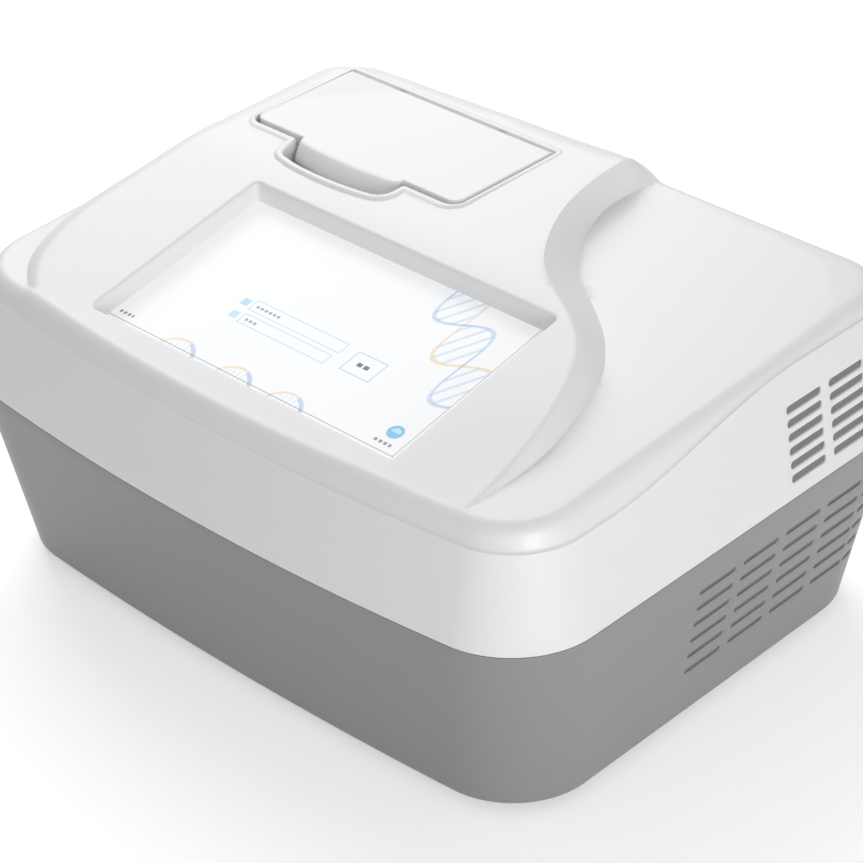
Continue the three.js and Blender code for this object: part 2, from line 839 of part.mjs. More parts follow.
// Hollow in front of the lid, which a finger reaches into behind the grip
function fingerPocket(grow, low, high) {
  const half = pocketWidth / 2 + grow;
  const back = lidFront + grow;
  const middle = lidFront - pocketReach - grow;
  const side = middle + pocketBow;
  const shape = new THREE.Shape();
  shape.moveTo(lidCentreX - half, back);
  shape.lineTo(lidCentreX - half + pocketSlant, side);
  shape.quadraticCurveTo(lidCentreX, 2 * middle - side, lidCentreX + half, side);
  shape.lineTo(lidCentreX + half, back);
  return prism(shape, low, high, cornerSteps);
}

// Place in the machine of a shape drawn in the plane of the touch screen, X across, Y up the slope
function onScreenPlane(shape) {
  const turn = new THREE.Matrix4().makeRotationX(screenTilt);
  turn.setPosition(screenCentreX, screenFrontLine, islandHeight(screenFrontLine));
  return solid(geometryOf(shape).applyMatrix4(turn));
}

// Places in plan of the magnet at one end of the lid, which the keeper in the ledge matches
function magnetPlan(side) {
  const outer = lidCentreX + side * (lidWidth / 2 - lidWall - gap);
  const inner = outer - side * magnetWidth;
  const front = lidFront + magnetFrontInset;
  return { low: [Math.min(inner, outer), front], high: [Math.max(inner, outer), front + magnetLength] };
}

function keeperPocket(side) {
  const { low, high } = magnetPlan(side);
  return block(
    [low[0] - gap, low[1] - gap, ledgeTop - keeperThickness - gap],
    [high[0] + gap, high[1] + gap, lidTop],
  );
}

function rearVents() {
  const cuts = [];
  const first = lidCentreX - (rearVentColumns * ventPitchY - (ventPitchY - ventLength)) / 2;
  for (let row = 0; row < rearVentRows; row += 1) {
    const z = seamHeight + shellVentBottomRise + row * shellVentPitchZ;
    for (let column = 0; column < rearVentColumns; column += 1) {
      const x = first + column * ventPitchY;
      cuts.push(block(
        [x, halfDepth - ventCutDepth / 2, z - shellVentHeight / 2],
        [x + ventLength, halfDepth + overrun, z + shellVentHeight / 2],
      ));
    }
  }
  return cuts;
}

function makeShell() {
  const outer = caseDome(0, shellBottom).add(islandSolid(0));
  const hollow = caseDome(caseWall, shellBottom - overrun).add(islandSolid(caseWall));
  const screenPan = onScreenPlane(block(
    [-screenWidth / 2 - screenRimWall, -screenRimWall, -screenDepth],
    [screenWidth / 2 + screenRimWall, screenLength + screenRimWall, -caseWall / 2],
  ));
  let shell = outer.subtract(hollow).add(screenPan.intersect(outer));
  shell = shell.add(lidPan(lidRimWidth, ledgeBottom, lidTop));
  shell = shell.add(fingerPocket(lidRimWidth, ledgeTop - pocketDepth - pocketFloor, lidTop - lidProud));
  shell = shell.add(block(
    [lidCentreX - openingHalf - skirtWall, openingFront - caseWall, skirtBottom],
    [lidCentreX + openingHalf + skirtWall, openingBack + skirtWall, ledgeTop],
  ));

  shell = shell.subtract(lidPan(0, ledgeTop, lidTop + overrun));
  shell = shell.subtract(fingerPocket(0, ledgeTop - pocketDepth, lidTop + overrun));
  shell = shell.subtract(block(
    [lidCentreX - openingHalf, openingFront, skirtBottom - overrun],
    [lidCentreX + openingHalf, openingBack, lidTop],
  ));
  for (const side of [-1, 1]) {
    const x = lidCentreX + side * knuckleOffset;
    const half = knuckleWidth / 2 + gap;
    const slot = block(
      [x - half, hingeY - hingeArmHalf - gap, ledgeBottom - overrun],
      [x + half, hingeY + hingeArmHalf + gap, lidTop],
    );
    shell = shell.subtract(slot).subtract(keeperPocket(side));
  }
  const screenWindow = onScreenPlane(roundedPlate(
    [0, screenLength / 2], screenWidth, screenLength, screenCornerRadius, -screenDepth - overrun, overrun,
  ));
  const topRow = seamHeight + shellVentBottomRise + (shellVentRows - 1) * shellVentPitchZ;
  const sideVents = ventRows(
    shellVentRows, shellVentColumns, shellVentSkip, topRow, shellVentPitchZ, shellVentHeight,
  );
  return shell.subtract(screenWindow).subtract(joined(sideVents)).subtract(joined(rearVents()));
}

addPart('base_tub', makeTub(), greyTub);
addPart('upper_shell', makeShell(), whiteShell);

for (const [name, x, y] of footPlaces) {
  const foot = bar('z', footTipRadius, 0, footHeight - gap, [0, 0], roundSides, footRadius);
  const bossTop = footHeight + footBossHeight;
  const boss = bar('z', footBossRadius, footHeight - 2 * gap, bossTop, [0, 0], postSides);
  addPart(`foot_${name}`, foot.add(boss), blackRubber, groupAt(x, y, 0));
}

// Chassis plate on the tub's bosses, with four standoffs for the main board

const boardPosts = [];
for (const sideX of [-1, 1]) {
  for (const sideY of [-1, 1]) {
    boardPosts.push([
      boardCentreX + sideX * (boardWidth / 2 - boardHoleInset),
      boardCentreY + sideY * (boardDepth / 2 - boardHoleInset),
    ]);
  }
}

function makeChassis() {
  let plate = roundedPlate(
    [0, (chassisFront + chassisBack) / 2], 2 * chassisHalf, chassisBack - chassisFront,
    chassisCornerRadius, chassisBottom, chassisTop,
  );
  for (const place of boardPosts) {
    plate = plate.add(bar('z', standoffRadius, chassisBottom, chassisTop + standoffHeight, place, fineSides));
  }
  return plate;
}

addPart('chassis_plate', makeChassis(), steel);

// Touch screen stack, in the plane of the island's front slope

function screenPlate(margin, low, high) {
  return block(
    [-screenWidth / 2 - margin, -margin, low],
    [screenWidth / 2 + margin, screenLength + margin, high],
  );
}

const screen = groupAt(screenCentreX, screenFrontLine, islandHeight(screenFrontLine));
screen.rotation.x = screenTilt;
const glassTop = -screenDepth - gap;
const glassBottom = glassTop - glassThickness;
const panelTop = glassBottom - gap;
const panelBottom = panelTop - panelThickness;
const bracketTop = panelBottom - gap;
const bracketBottom = bracketTop - screenBracketThickness;
screen.updateMatrix();
const pocketRoom = fingerPocket(lidRimWidth + gap, ledgeTop - pocketDepth - pocketFloor - gap, lidTop);
const room = caseDome(caseWall + gap, shellBottom).add(islandSolid(caseWall + gap)).subtract(pocketRoom);
const screenRoom = solid(geometryOf(room).applyMatrix4(screen.matrix.clone().invert()));
const touchGlass = screenPlate(glassMargin, glassBottom, glassTop).intersect(screenRoom);
addPart('touch_glass', touchGlass, screenWhite, screen);
const displayPanel = screenPlate(panelMargin, panelBottom, panelTop).intersect(screenRoom);
addPart('display_panel', displayPanel, darkPlastic, screen);
const bracketTray = screenPlate(screenBracketLip, bracketBottom, glassTop)
  .subtract(screenPlate(screenRimWall + gap, bracketTop, overrun))
  .subtract(screenPlate(-screenBracketBorder, bracketBottom - overrun, overrun))
  .intersect(screenRoom);
addPart('display_bracket', bracketTray, steel, screen);

// Lid, drawn from the hinge line

function fromHinge(x, y, z) {
  return [x - lidCentreX, y - hingeY, z - hingeZ];
}

function gripSection(shift) {
  const root = lidFront + lidCornerRadius / 2 - hingeY;
  const reach = root - (lidFront - hingeY - gripReach - shift);
  const innerReach = reach - gripThickness;
  const place = (width) => ([run, fall]) => [root - run * width, barrelRadius - fall * gripDrop];
  const outerSide = gripOuterShares.map(place(reach));
  const innerSide = gripInnerShares.map(place(innerReach));
  return [[root, barrelRadius], ...outerSide, ...innerSide, [root, barrelRadius - lidWall]];
}

function makeGrip() {
  const rings = gripStationShares.map((share) => {
    const endPull = Math.abs(share) === 1 ? gripThickness : 0;
    const shift = gripBow * (1 - share * share) - endPull;
    return gripSection(shift).map(([y, z]) => new THREE.Vector3(share * gripWidth / 2, y, z));
  });
  return solid(loft(rings, 'x'));
}

function makeLidCover() {
  const front = lidFront - hingeY;
  let cover = roundedPlate([0, front / 2], lidWidth, -front, lidCornerRadius, -barrelRadius, barrelRadius);
  cover = cover.add(block(
    [-lidWidth / 2, -barrelRadius - lidCornerRadius, -barrelRadius], [lidWidth / 2, 0, barrelRadius],
  ));
  cover = cover.add(bar('x', barrelRadius, -lidWidth / 2, lidWidth / 2, [0, 0], wideSides));
  cover = cover.subtract(block(
    [lidWall - lidWidth / 2, front + lidWall, -barrelRadius - overrun],
    [lidWidth / 2 - lidWall, -barrelRadius - lidWall, barrelRadius - lidWall],
  ));
  cover = cover.add(makeGrip());
  const boreHalf = lidWidth / 2 + overrun;
  cover = cover.subtract(bar('x', pinRadius + gap, -boreHalf, boreHalf, [0, 0], postSides));
  for (const side of [-1, 1]) {
    const x = side * knuckleOffset;
    const half = knuckleWidth / 2 + gap;
    cover = cover.subtract(block(
      [x - half, -barrelRadius - gap, -barrelRadius - overrun],
      [x + half, barrelRadius + overrun, barrelRadius - barrelSkin],
    ));
  }
  return cover;
}

const lid = groupAt(lidCentreX, hingeY, hingeZ);
addPart('lid_cover', makeLidCover(), whiteShell, lid);

const postPlaces = [];
for (const [nameX, sideX] of [['left', -1], ['right', 1]]) {
  const x = lidCentreX + sideX * (plateWidth / 2 - postInset);
  postPlaces.push([`front_${nameX}`, x, plateFront + postInset]);
  postPlaces.push([`back_${nameX}`, x, plateBack - postInset]);
}

// An upright bar in the lid, from one height in the machine to another
function lidPost(radius, from, to, x, y) {
  const [localX, localY, low] = fromHinge(x, y, from);
  return bar('z', radius, low, low + to - from, [localX, localY], fineSides);
}

const headTop = plateTop - postLedge - gap;
let liner = block(
  fromHinge(lidCentreX - lidWidth / 2 + lidWall + gap, lidFront + lidWall + gap, linerBottom),
  fromHinge(lidCentreX + lidWidth / 2 - lidWall - gap, hingeY - barrelRadius - lidWall - gap, linerTop),
);
let mat = block(
  fromHinge(lidCentreX - plateWidth / 2, plateFront, matBottom),
  fromHinge(lidCentreX + plateWidth / 2, plateBack, matTop),
);
let plate = block(
  fromHinge(lidCentreX - plateWidth / 2, plateFront, plateBottom),
  fromHinge(lidCentreX + plateWidth / 2, plateBack, plateTop),
);
for (const [name, x, y] of postPlaces) {
  liner = liner.add(lidPost(postRadius, headTop - postHeadHeight, linerBottom + gap, x, y));
  liner = liner.add(lidPost(postHeadRadius, headTop - postHeadHeight, headTop, x, y));
  mat = mat.subtract(lidPost(postRadius + gap, matBottom - overrun, matTop + overrun, x, y));
  plate = plate.subtract(lidPost(postRadius + gap, plateBottom - overrun, plateTop + overrun, x, y));
  plate = plate.subtract(lidPost(postHeadRadius + gap, plateBottom - overrun, plateTop - postLedge, x, y));
  const spring = lidPost(postRadius + gap + springWall, springBottom, springTop, x, y)
    .subtract(lidPost(postRadius + gap, springBottom - overrun, springTop + overrun, x, y));
  addPart(`lid_spring_${name}`, spring, steel, lid);
}
addPart('lid_liner', liner, darkPlastic, lid);
addPart('heater_mat', mat, siliconeOrange, lid);
addPart('heated_plate', plate, aluminium, lid);

for (const [name, side] of [['left', -1], ['right', 1]]) {
  const { low, high } = magnetPlan(side);
  const magnet = block(fromHinge(...low, lidBottom), fromHinge(...high, linerBottom - gap));
  addPart(`lid_magnet_${name}`, magnet, darkPlastic, lid);
  const keeper = block([...low, ledgeTop - keeperThickness], [...high, ledgeTop]);
  addPart(`lid_keeper_${name}`, keeper, steel);
}

// Hinge pin and its two brackets
const pin = bar('x', pinRadius, gap - lidWidth / 2, lidWidth / 2 - gap, [0, 0], postSides);
addPart('hinge_pin', pin, steel, groupAt(lidCentreX, hingeY, hingeZ));
for (const [name, side] of [['left', -1], ['right', 1]]) {
  const half = knuckleWidth / 2;
  const armDrop = hingeZ - ledgeBottom + gap;
  const bracket = bar('x', barrelRadius - barrelSkin - gap, -half, half)
    .add(block([-half, -hingeArmHalf, -armDrop - hingeFootThickness], [half, hingeArmHalf, 0]))
    .add(block(
      [-hingeFootWidth / 2, -hingeArmHalf, -armDrop - hingeFootThickness],
      [hingeFootWidth / 2, hingeFootLength, -armDrop],
    ))
    .subtract(bar('x', pinRadius + gap, -half - overrun, half + overrun, [0, 0], postSides));
  const place = groupAt(lidCentreX + side * knuckleOffset, hingeY, hingeZ);
  addPart(`hinge_bracket_${name}`, bracket, steel, place);
}

// Sample block and what lies under it, centred below the lid's opening

const stack = groupAt(lidCentreX, openingCentreY, 0);

function makeWellBlock() {
  const wells = [];
  for (let row = 0; row < wellRows; row += 1) {
    for (let column = 0; column < wellColumns; column += 1) {
      const x = (column - (wellColumns - 1) / 2) * wellPitch;
      const y = (row - (wellRows - 1) / 2) * wellPitch;
      const bottom = blockTop - wellDepth;
      wells.push(bar('z', wellBottomRadius, bottom, blockTop + gap, [x, y], wellSides, wellTopRadius));
    }
  }
  const body = block(
    [-blockWidth / 2, -blockDepth / 2, blockBottom], [blockWidth / 2, blockDepth / 2, blockTop],
  );
  return body.subtract(joined(wells));
}

addPart('well_block', makeWellBlock(), aluminium, stack);

const deckHalfX = openingHalf + skirtWall + deckMargin;
const deckHalfY = (openingBack - openingFront) / 2 + skirtWall + deckMargin;
const deckTop = skirtBottom - gap;
const deck = block([-deckHalfX, -deckHalfY, deckTop - deckThickness], [deckHalfX, deckHalfY, deckTop])
  .subtract(block(
    [-blockWidth / 2 - gap, -blockDepth / 2 - gap, deckTop - deckThickness - overrun],
    [blockWidth / 2 + gap, blockDepth / 2 + gap, deckTop + overrun],
  ));
addPart('block_deck', deck, whiteShell, stack);

const peltierWidth = (blockWidth - (peltierCount - 1) * peltierSpacing) / peltierCount;
for (let i = 0; i < peltierCount; i += 1) {
  const x = i * (peltierWidth + peltierSpacing) - blockWidth / 2;
  const peltier = block(
    [x, -blockDepth / 2, sinkTop + gap], [x + peltierWidth, blockDepth / 2, blockBottom - gap],
  );
  addPart(`peltier_${i + 1}`, peltier, ceramicWhite, stack);
}

function makeHeatSink() {
  const half = sinkWidth / 2;
  const finHalf = half - standFlange - 2 * gap;
  const pitch = (2 * finHalf - finThickness) / (finCount - 1);
  const profile = [[half, finTop], [half, sinkTop], [-half, sinkTop], [-half, finTop]];
  for (let i = 0; i < finCount; i += 1) {
    const x = i * pitch - finHalf;
    profile.push([x, finTop], [x, finBottom], [x + finThickness, finBottom], [x + finThickness, finTop]);
  }
  return prismAlongY(profile, -sinkDepth / 2, sinkDepth / 2);
}

addPart('heat_sink', makeHeatSink(), aluminium, stack);

function makeSinkStand() {
  const half = sinkWidth / 2;
  const top = finTop - gap;
  const wall = standThickness;
  const profile = [
    [-half, seatHeight], [half, seatHeight], [half, top], [half - standFlange, top],
    [half - standFlange, top - wall], [half - wall, top - wall], [half - wall, seatHeight + wall],
    [wall - half, seatHeight + wall], [wall - half, top - wall], [standFlange - half, top - wall],
    [standFlange - half, top], [-half, top],
  ];
  const window = block(
    [-half - overrun, standWindowMargin - sinkDepth / 2, seatHeight + standWindowMargin],
    [half + overrun, sinkDepth / 2 - standWindowMargin, top - standWindowMargin],
  );
  return prismAlongY(profile, -sinkDepth / 2, sinkDepth / 2).subtract(window);
}

addPart('sink_stand', makeSinkStand(), steel, stack);

// Fans on the back of the heat sink

function makeFanFrame() {
  const half = fanSize / 2;
  const spokeFront = fanDepth - fanSpokeDepth;
  let frame = block([-half, 0, -half], [half, fanDepth, half]);
  frame = frame.subtract(bar('y', fanBoreRadius, -overrun, fanDepth + overrun, [0, 0], wideSides));
  frame = frame.add(bar('y', fanHubRadius, spokeFront, fanDepth));
  const across = fanSpokeWidth / 2;
  frame = frame.add(block([gap - half, spokeFront, -across], [half - gap, fanDepth, across]));
  frame = frame.add(block([-across, spokeFront, gap - half], [across, fanDepth, half - gap]));
  const boreStart = spokeFront - overrun;
  return frame.subtract(bar('y', fanShaftRadius + gap, boreStart, fanDepth + overrun, [0, 0], fineSides));
}

function makeFanRotor() {
  const hubBack = fanDepth - fanSpokeDepth - gap;
  let rotor = bar('y', fanHubRadius, fanFrontGap, hubBack);
  rotor = rotor.add(bar('y', fanShaftRadius, hubBack - gap, fanDepth - gap, [0, 0], fineSides));
  const middle = (fanFrontGap + hubBack) / 2;
  const bladeLength = fanBladeRadius - fanHubRadius / 2;
  for (let i = 0; i < fanBladeCount; i += 1) {
    const blade = new THREE.BoxGeometry(fanBladeChord, fanBladeThickness, bladeLength);
    blade.rotateZ(THREE.MathUtils.degToRad(fanBladeDegrees));
    blade.translate(0, middle, (fanBladeRadius + fanHubRadius / 2) / 2);
    blade.rotateY((i / fanBladeCount) * 2 * halfTurn);
    rotor = rotor.add(solid(blade));
  }
  return rotor;
}

for (let i = 0; i < fanCount; i += 1) {
  const x = lidCentreX + (i - (fanCount - 1) / 2) * (fanSize + fanSpacing);
  const fan = groupAt(x, fanFront, fanCentreZ);
  addPart(`fan_frame_${i + 1}`, makeFanFrame(), darkPlastic, fan);
  addPart(`fan_rotor_${i + 1}`, makeFanRotor(), darkPlastic, fan);
}

// Optics module, from the middle of its floor

const optics = groupAt(opticsCentreX, opticsCentreY, seatHeight);
const opticsFloor = opticsWall + gap;
const wheelHeight = opticsFloor + wheelFloorGap + wheelRadius;
const opticsHousing = block(
  [-opticsWidth / 2, -opticsLength / 2, 0], [opticsWidth / 2, opticsLength / 2, opticsHeight],
).subtract(block(
  [opticsWall - opticsWidth / 2, opticsWall - opticsLength / 2, opticsWall],
  [opticsWidth / 2 - opticsWall, opticsLength / 2 - opticsWall, opticsHeight + overrun],
));
addPart('optics_housing', opticsHousing, darkPlastic, optics);

const wheelGroup = groupAt(0, 0, wheelHeight, optics);
const wheelHalf = wheelThickness / 2;
const bracketFace = -wheelHalf - motorGapToWheel;
const motorFace = bracketFace - motorBracketThickness - gap;
let wheel = bar('x', wheelRadius, -wheelHalf, wheelHalf, [0, 0], wheelSides);
for (let i = 0; i < filterCount; i += 1) {
  const angle = (i / filterCount) * 2 * halfTurn;
  const place = [wheelBoreCircle * Math.cos(angle), wheelBoreCircle * Math.sin(angle)];
  wheel = wheel.subtract(bar('x', filterRadius + gap, -overrun, overrun, place, postSides));
  const filter = bar('x', filterRadius, -filterThickness / 2, filterThickness / 2, place, postSides);
  addPart(`filter_${i + 1}`, filter, filterGlass, wheelGroup);
}
const shaftEnd = motorFace - motorShaftLength;
wheel = wheel.add(bar('x', motorShaftRadius, shaftEnd, gap - wheelHalf, [0, 0], pinSides));
addPart('filter_wheel', wheel, darkPlastic, wheelGroup);

const motor = block(
  [motorFace - motorLength, -motorSize / 2, -motorSize / 2], [motorFace, motorSize / 2, motorSize / 2],
)
  .add(bar('x', motorBossRadius, motorFace - gap, bracketFace))
  .subtract(bar('x', motorShaftRadius + gap, shaftEnd - gap, overrun, [0, 0], pinSides));
addPart('wheel_motor', motor, darkPlastic, wheelGroup);

const bracketHalf = motorSize / 2 + motorBracketBorder;
const motorBracket = block(
  [bracketFace - motorBracketThickness, -bracketHalf, opticsFloor - wheelHeight],
  [bracketFace, bracketHalf, bracketHalf],
)
  .add(block(
    [motorFace - motorLength, -bracketHalf, opticsFloor - wheelHeight],
    [bracketFace, bracketHalf, opticsFloor - wheelHeight + motorBracketThickness],
  ))
  .subtract(bar('x', motorBossRadius + gap, motorFace - overrun, overrun));
addPart('motor_bracket', motorBracket, steel, wheelGroup);

for (const [name, side] of [['lamp_module', -1], ['detector_module', 1]]) {
  const near = wheelHalf + opticGapToWheel;
  const far = near + opticTubeLength;
  const tubeEnds = [side * near, side * (far + gap)];
  const tubePlace = [wheelBoreCircle, 0];
  const tube = bar(
    'x', opticTubeRadius, Math.min(...tubeEnds), Math.max(...tubeEnds), tubePlace, postSides,
  );
  const ends = [side * far, side * (far + opticBodyLength)];
  const body = block(
    [Math.min(...ends), wheelBoreCircle - opticBodySize / 2, opticsFloor - wheelHeight],
    [Math.max(...ends), wheelBoreCircle + opticBodySize / 2, opticBodySize / 2],
  );
  addPart(name, body.add(tube), darkPlastic, wheelGroup);
}

// Fibre bar on the heat sink, in front of the sample block, and the bundle that leads to it
const fibreBarBottom = sinkTop + gap;
const fibreBarFront = blockFront - gap - fibreBarDepth;
const fibreBar = block(
  [lidCentreX - blockWidth / 2, fibreBarFront, fibreBarBottom],
  [lidCentreX + blockWidth / 2, fibreBarFront + fibreBarDepth, fibreBarBottom + fibreBarHeight],
);
addPart('fibre_bar', fibreBar, darkPlastic);

function makeFibreBundle() {
  const detectorX = opticsCentreX + wheelHalf + opticGapToWheel + opticTubeLength + opticBodyLength / 2;
  const detectorTop = seatHeight + wheelHeight + opticBodySize / 2;
  const detectorY = opticsCentreY + wheelBoreCircle;
  const barMiddle = fibreBarBottom + fibreBarHeight / 2;
  const from = new THREE.Vector3(detectorX, detectorY, detectorTop + gap);
  const to = new THREE.Vector3(lidCentreX, fibreBarFront - gap, barMiddle);
  const route = new THREE.CubicBezierCurve3(
    from, new THREE.Vector3(from.x, from.y, to.z), new THREE.Vector3(to.x, from.y, to.z), to,
  );
  const section = new THREE.Shape();
  section.absarc(0, 0, fibreRadius, 0, 2 * halfTurn);
  const ring = new THREE.Shape(section.getSpacedPoints(fibreSides).slice(0, fibreSides));
  return new THREE.ExtrudeGeometry(ring, { steps: fibreSteps, extrudePath: route });
}

addPart('fibre_bundle', solid(makeFibreBundle()), fibreBlack);

// Main board with its processor cooler, and the power supply

const board = groupAt(boardCentreX, boardCentreY, chassisTop + standoffHeight + gap);
const chipHalf = chipSize / 2;
let boardSolid = block(
  [-boardWidth / 2, -boardDepth / 2, 0], [boardWidth / 2, boardDepth / 2, boardThickness],
);
for (const step of [-1, 0, 1]) {
  const x = step * chipSpacing;
  boardSolid = boardSolid.add(block(
    [x - chipHalf, -chipHalf, boardThickness - gap], [x + chipHalf, chipHalf, boardThickness + chipHeight],
  ));
}
addPart('main_board', boardSolid, boardGreen, board);

function makeCooler() {
  const low = boardThickness + chipHeight + gap;
  const pitch = (chipSize - coolerFinThickness) / (coolerFinCount - 1);
  let cooler = block([-chipHalf, -chipHalf, low], [chipHalf, chipHalf, low + coolerBase]);
  for (let i = 0; i < coolerFinCount; i += 1) {
    const x = i * pitch - chipHalf;
    cooler = cooler.add(block(
      [x, -chipHalf, low + coolerBase / 2], [x + coolerFinThickness, chipHalf, low + coolerHeight],
    ));
  }
  return cooler;
}

addPart('processor_cooler', makeCooler(), aluminium, board);

const supply = groupAt(supplyCentreX, supplyCentreY, seatHeight);
const supplyHalfX = supplyWidth / 2;
const supplyHalfY = supplyDepth / 2;
const supplyCase = block([-supplyHalfX, -supplyHalfY, 0], [supplyHalfX, supplyHalfY, supplyHeight])
  .subtract(block(
    [supplyWall - supplyHalfX, supplyWall - supplyHalfY, supplyWall],
    [supplyHalfX - supplyWall, supplyHalfY - supplyWall, supplyHeight - supplyWall],
  ))
  .subtract(block(
    [supplyWindowMargin - supplyHalfX, -supplyHalfY - overrun, supplyWindowMargin],
    [supplyHalfX - supplyWindowMargin, overrun - supplyHalfY, supplyHeight - supplyWindowMargin],
  ));
addPart('power_supply', supplyCase, steel, supply);

// Connector plate, from its middle on the outside of the tub's rear wall

const rear = groupAt(ioCentreX, ioSurfaceY, ioCentreHeight);
rear.rotation.x = -rearTilt;
const usbPlaces = [usbFirstX, usbFirstX + usbSpacing];

function portBody(centreX, width, height, depth, grow) {
  return block(
    [centreX - width / 2 - grow, -depth, portOffsetZ - height / 2 - grow],
    [centreX + width / 2 + grow, portProud, portOffsetZ + height / 2 + grow],
  );
}

function makePort(centreX, width, height, depth) {
  const inside = block(
    [centreX - width / 2 + portWall, portWall - depth, portOffsetZ - height / 2 + portWall],
    [centreX + width / 2 - portWall, overrun, portOffsetZ + height / 2 - portWall],
  );
  return portBody(centreX, width, height, depth, 0).subtract(inside);
}

const screwX = ioWidth / 2 - ioScrewInset;
let ioPlate = block([-ioWidth / 2, -ioThickness, -ioHeight / 2], [ioWidth / 2, 0, ioHeight / 2]);
for (const x of usbPlaces) {
  ioPlate = ioPlate.subtract(portBody(x, usbWidth, usbHeight, usbDepth, gap));
}
ioPlate = ioPlate.subtract(portBody(networkX, networkWidth, networkHeight, networkDepth, gap));
ioPlate = ioPlate.subtract(block(
  [inletOffsetX - inletWidth / 2 - gap, -inletDepth, -inletHeight / 2 - gap],
  [inletOffsetX + inletWidth / 2 + gap, overrun, inletHeight / 2 + gap],
));
for (const side of [-1, 1]) {
  const place = [side * screwX, 0];
  ioPlate = ioPlate.subtract(bar('y', screwShankRadius + gap, -overrun, overrun, place, pinSides));
}
addPart('rear_io_plate', ioPlate, steel, rear);
addPart('usb_port_1', makePort(usbPlaces[0], usbWidth, usbHeight, usbDepth), steel, rear);
addPart('usb_port_2', makePort(usbPlaces[1], usbWidth, usbHeight, usbDepth), steel, rear);
addPart('network_port', makePort(networkX, networkWidth, networkHeight, networkDepth), steel, rear);
for (const [name, side] of [['left', -1], ['right', 1]]) {
  const place = [side * screwX, 0];
  const head = bar('y', screwHeadRadius, gap, gap + screwHeadHeight, place, postSides);
  const shank = bar('y', screwShankRadius, gap - screwShankLength, 2 * gap, place, pinSides);
  addPart(`io_screw_${name}`, head.add(shank), steel, rear);
}

const inlet = groupAt(inletOffsetX, 0, 0, rear);
const inletFace = gap + inletFlangeThickness;
const rockerPivotY = inletFace - rockerPivotDepth;

function makeInlet() {
  const halfX = inletWidth / 2;
  const halfZ = inletHeight / 2;
  let body = block([-halfX, -inletDepth, -halfZ], [halfX, inletFace, halfZ]);
  body = body.add(block(
    [-halfX - inletFlange, gap, -halfZ - inletFlange],
    [halfX + inletFlange, inletFace, halfZ + inletFlange],
  ));
  const socketBack = inletFace - socketDepth;
  body = body.subtract(block(
    [-socketWidth / 2, socketBack, socketOffsetZ - socketHeight / 2],
    [socketWidth / 2, inletFace + overrun, socketOffsetZ + socketHeight / 2],
  ));
  for (const share of [-1, 0, 1]) {
    const x = share * contactSpacing;
    body = body.add(block(
      [x - contactWidth / 2, socketBack - gap, socketOffsetZ - contactHeight / 2],
      [x + contactWidth / 2, socketBack + contactLength, socketOffsetZ + contactHeight / 2],
    ));
  }
  const reach = Math.hypot(rockerHeight / 2, rockerProud) + gap;
  const recessX = rockerWidth / 2 + gap;
  body = body.subtract(block(
    [-recessX, rockerPivotY - rockerThickness - rockerRoomBehind, rockerOffsetZ - reach],
    [recessX, inletFace + overrun, rockerOffsetZ + reach],
  ));
  const pivotEnd = recessX + rockerPivotReach + gap;
  const pivot = [rockerPivotY, rockerOffsetZ];
  return body.subtract(bar('x', rockerPivotRadius + gap, -pivotEnd, pivotEnd, pivot, pinSides));
}

addPart('mains_inlet', makeInlet(), darkPlastic, inlet);

const rocker = groupAt(0, rockerPivotY, rockerOffsetZ, inlet);
rocker.rotation.x = THREE.MathUtils.degToRad(rockerDegrees);
const rockerBody = prismAlongX([
  [rockerProud - rockerThickness, -rockerHeight / 2], [rockerProud, -rockerHeight / 2],
  [rockerProud - rockerHollow, 0], [rockerProud, rockerHeight / 2],
  [rockerProud - rockerThickness, rockerHeight / 2],
], -rockerWidth / 2, rockerWidth / 2);
const pivotHalf = rockerWidth / 2 + gap + rockerPivotReach;
const rockerPivot = bar('x', rockerPivotRadius, -pivotHalf, pivotHalf, [0, 0], pinSides);
addPart('power_rocker', rockerBody.add(rockerPivot), blackRubber, rocker);

export default machine;
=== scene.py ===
import math

import bmesh
import bpy
import numpy as np
from mathutils import Matrix, Vector, geometry


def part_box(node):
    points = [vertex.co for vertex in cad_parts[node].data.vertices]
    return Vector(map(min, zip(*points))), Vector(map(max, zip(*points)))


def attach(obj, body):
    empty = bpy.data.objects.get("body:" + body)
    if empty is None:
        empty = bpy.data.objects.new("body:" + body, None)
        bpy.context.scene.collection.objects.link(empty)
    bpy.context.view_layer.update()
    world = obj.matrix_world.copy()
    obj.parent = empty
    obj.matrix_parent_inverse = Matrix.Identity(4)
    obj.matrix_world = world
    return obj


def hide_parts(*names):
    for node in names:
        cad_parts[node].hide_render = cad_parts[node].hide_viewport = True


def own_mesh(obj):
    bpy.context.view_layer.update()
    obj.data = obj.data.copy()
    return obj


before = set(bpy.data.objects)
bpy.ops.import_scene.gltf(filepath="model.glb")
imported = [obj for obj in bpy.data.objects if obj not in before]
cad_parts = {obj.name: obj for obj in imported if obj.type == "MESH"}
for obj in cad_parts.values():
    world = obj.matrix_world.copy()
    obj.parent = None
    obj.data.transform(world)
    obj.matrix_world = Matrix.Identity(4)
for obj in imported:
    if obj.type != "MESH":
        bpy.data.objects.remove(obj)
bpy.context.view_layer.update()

MM = 0.001
TAU = 2 * math.pi

# Sizes, in millimetres
SEAM = 121.6
GAP = 0.3
HALF_WIDTH, HALF_DEPTH = 225.0, 177.6
BOW, FRONT_RADIUS, BACK_RADIUS, ROUND = 16.0, 48.5, 48.0, 0.5523
WALL = 2.4
FLARE = 0.159
SHOULDER_FRONT, SHOULDER_BACK = 56.4, 75.9
TOP_RISE, TOP_SLOPE = 67.2, 0.058
FOLD, FOLD_SOFT, ISLAND_FRONT, ISLAND_RISE = 3.0, 8.0, -161.5, 68.4
SLOPE_FRONT, SLOPE_REAR = 0.207, 0.012
ISLAND_LEFT, ISLAND_RIGHT, ISLAND_BACK, ISLAND_SLOPE = -183.0, 166.0, 127.0, 25.0
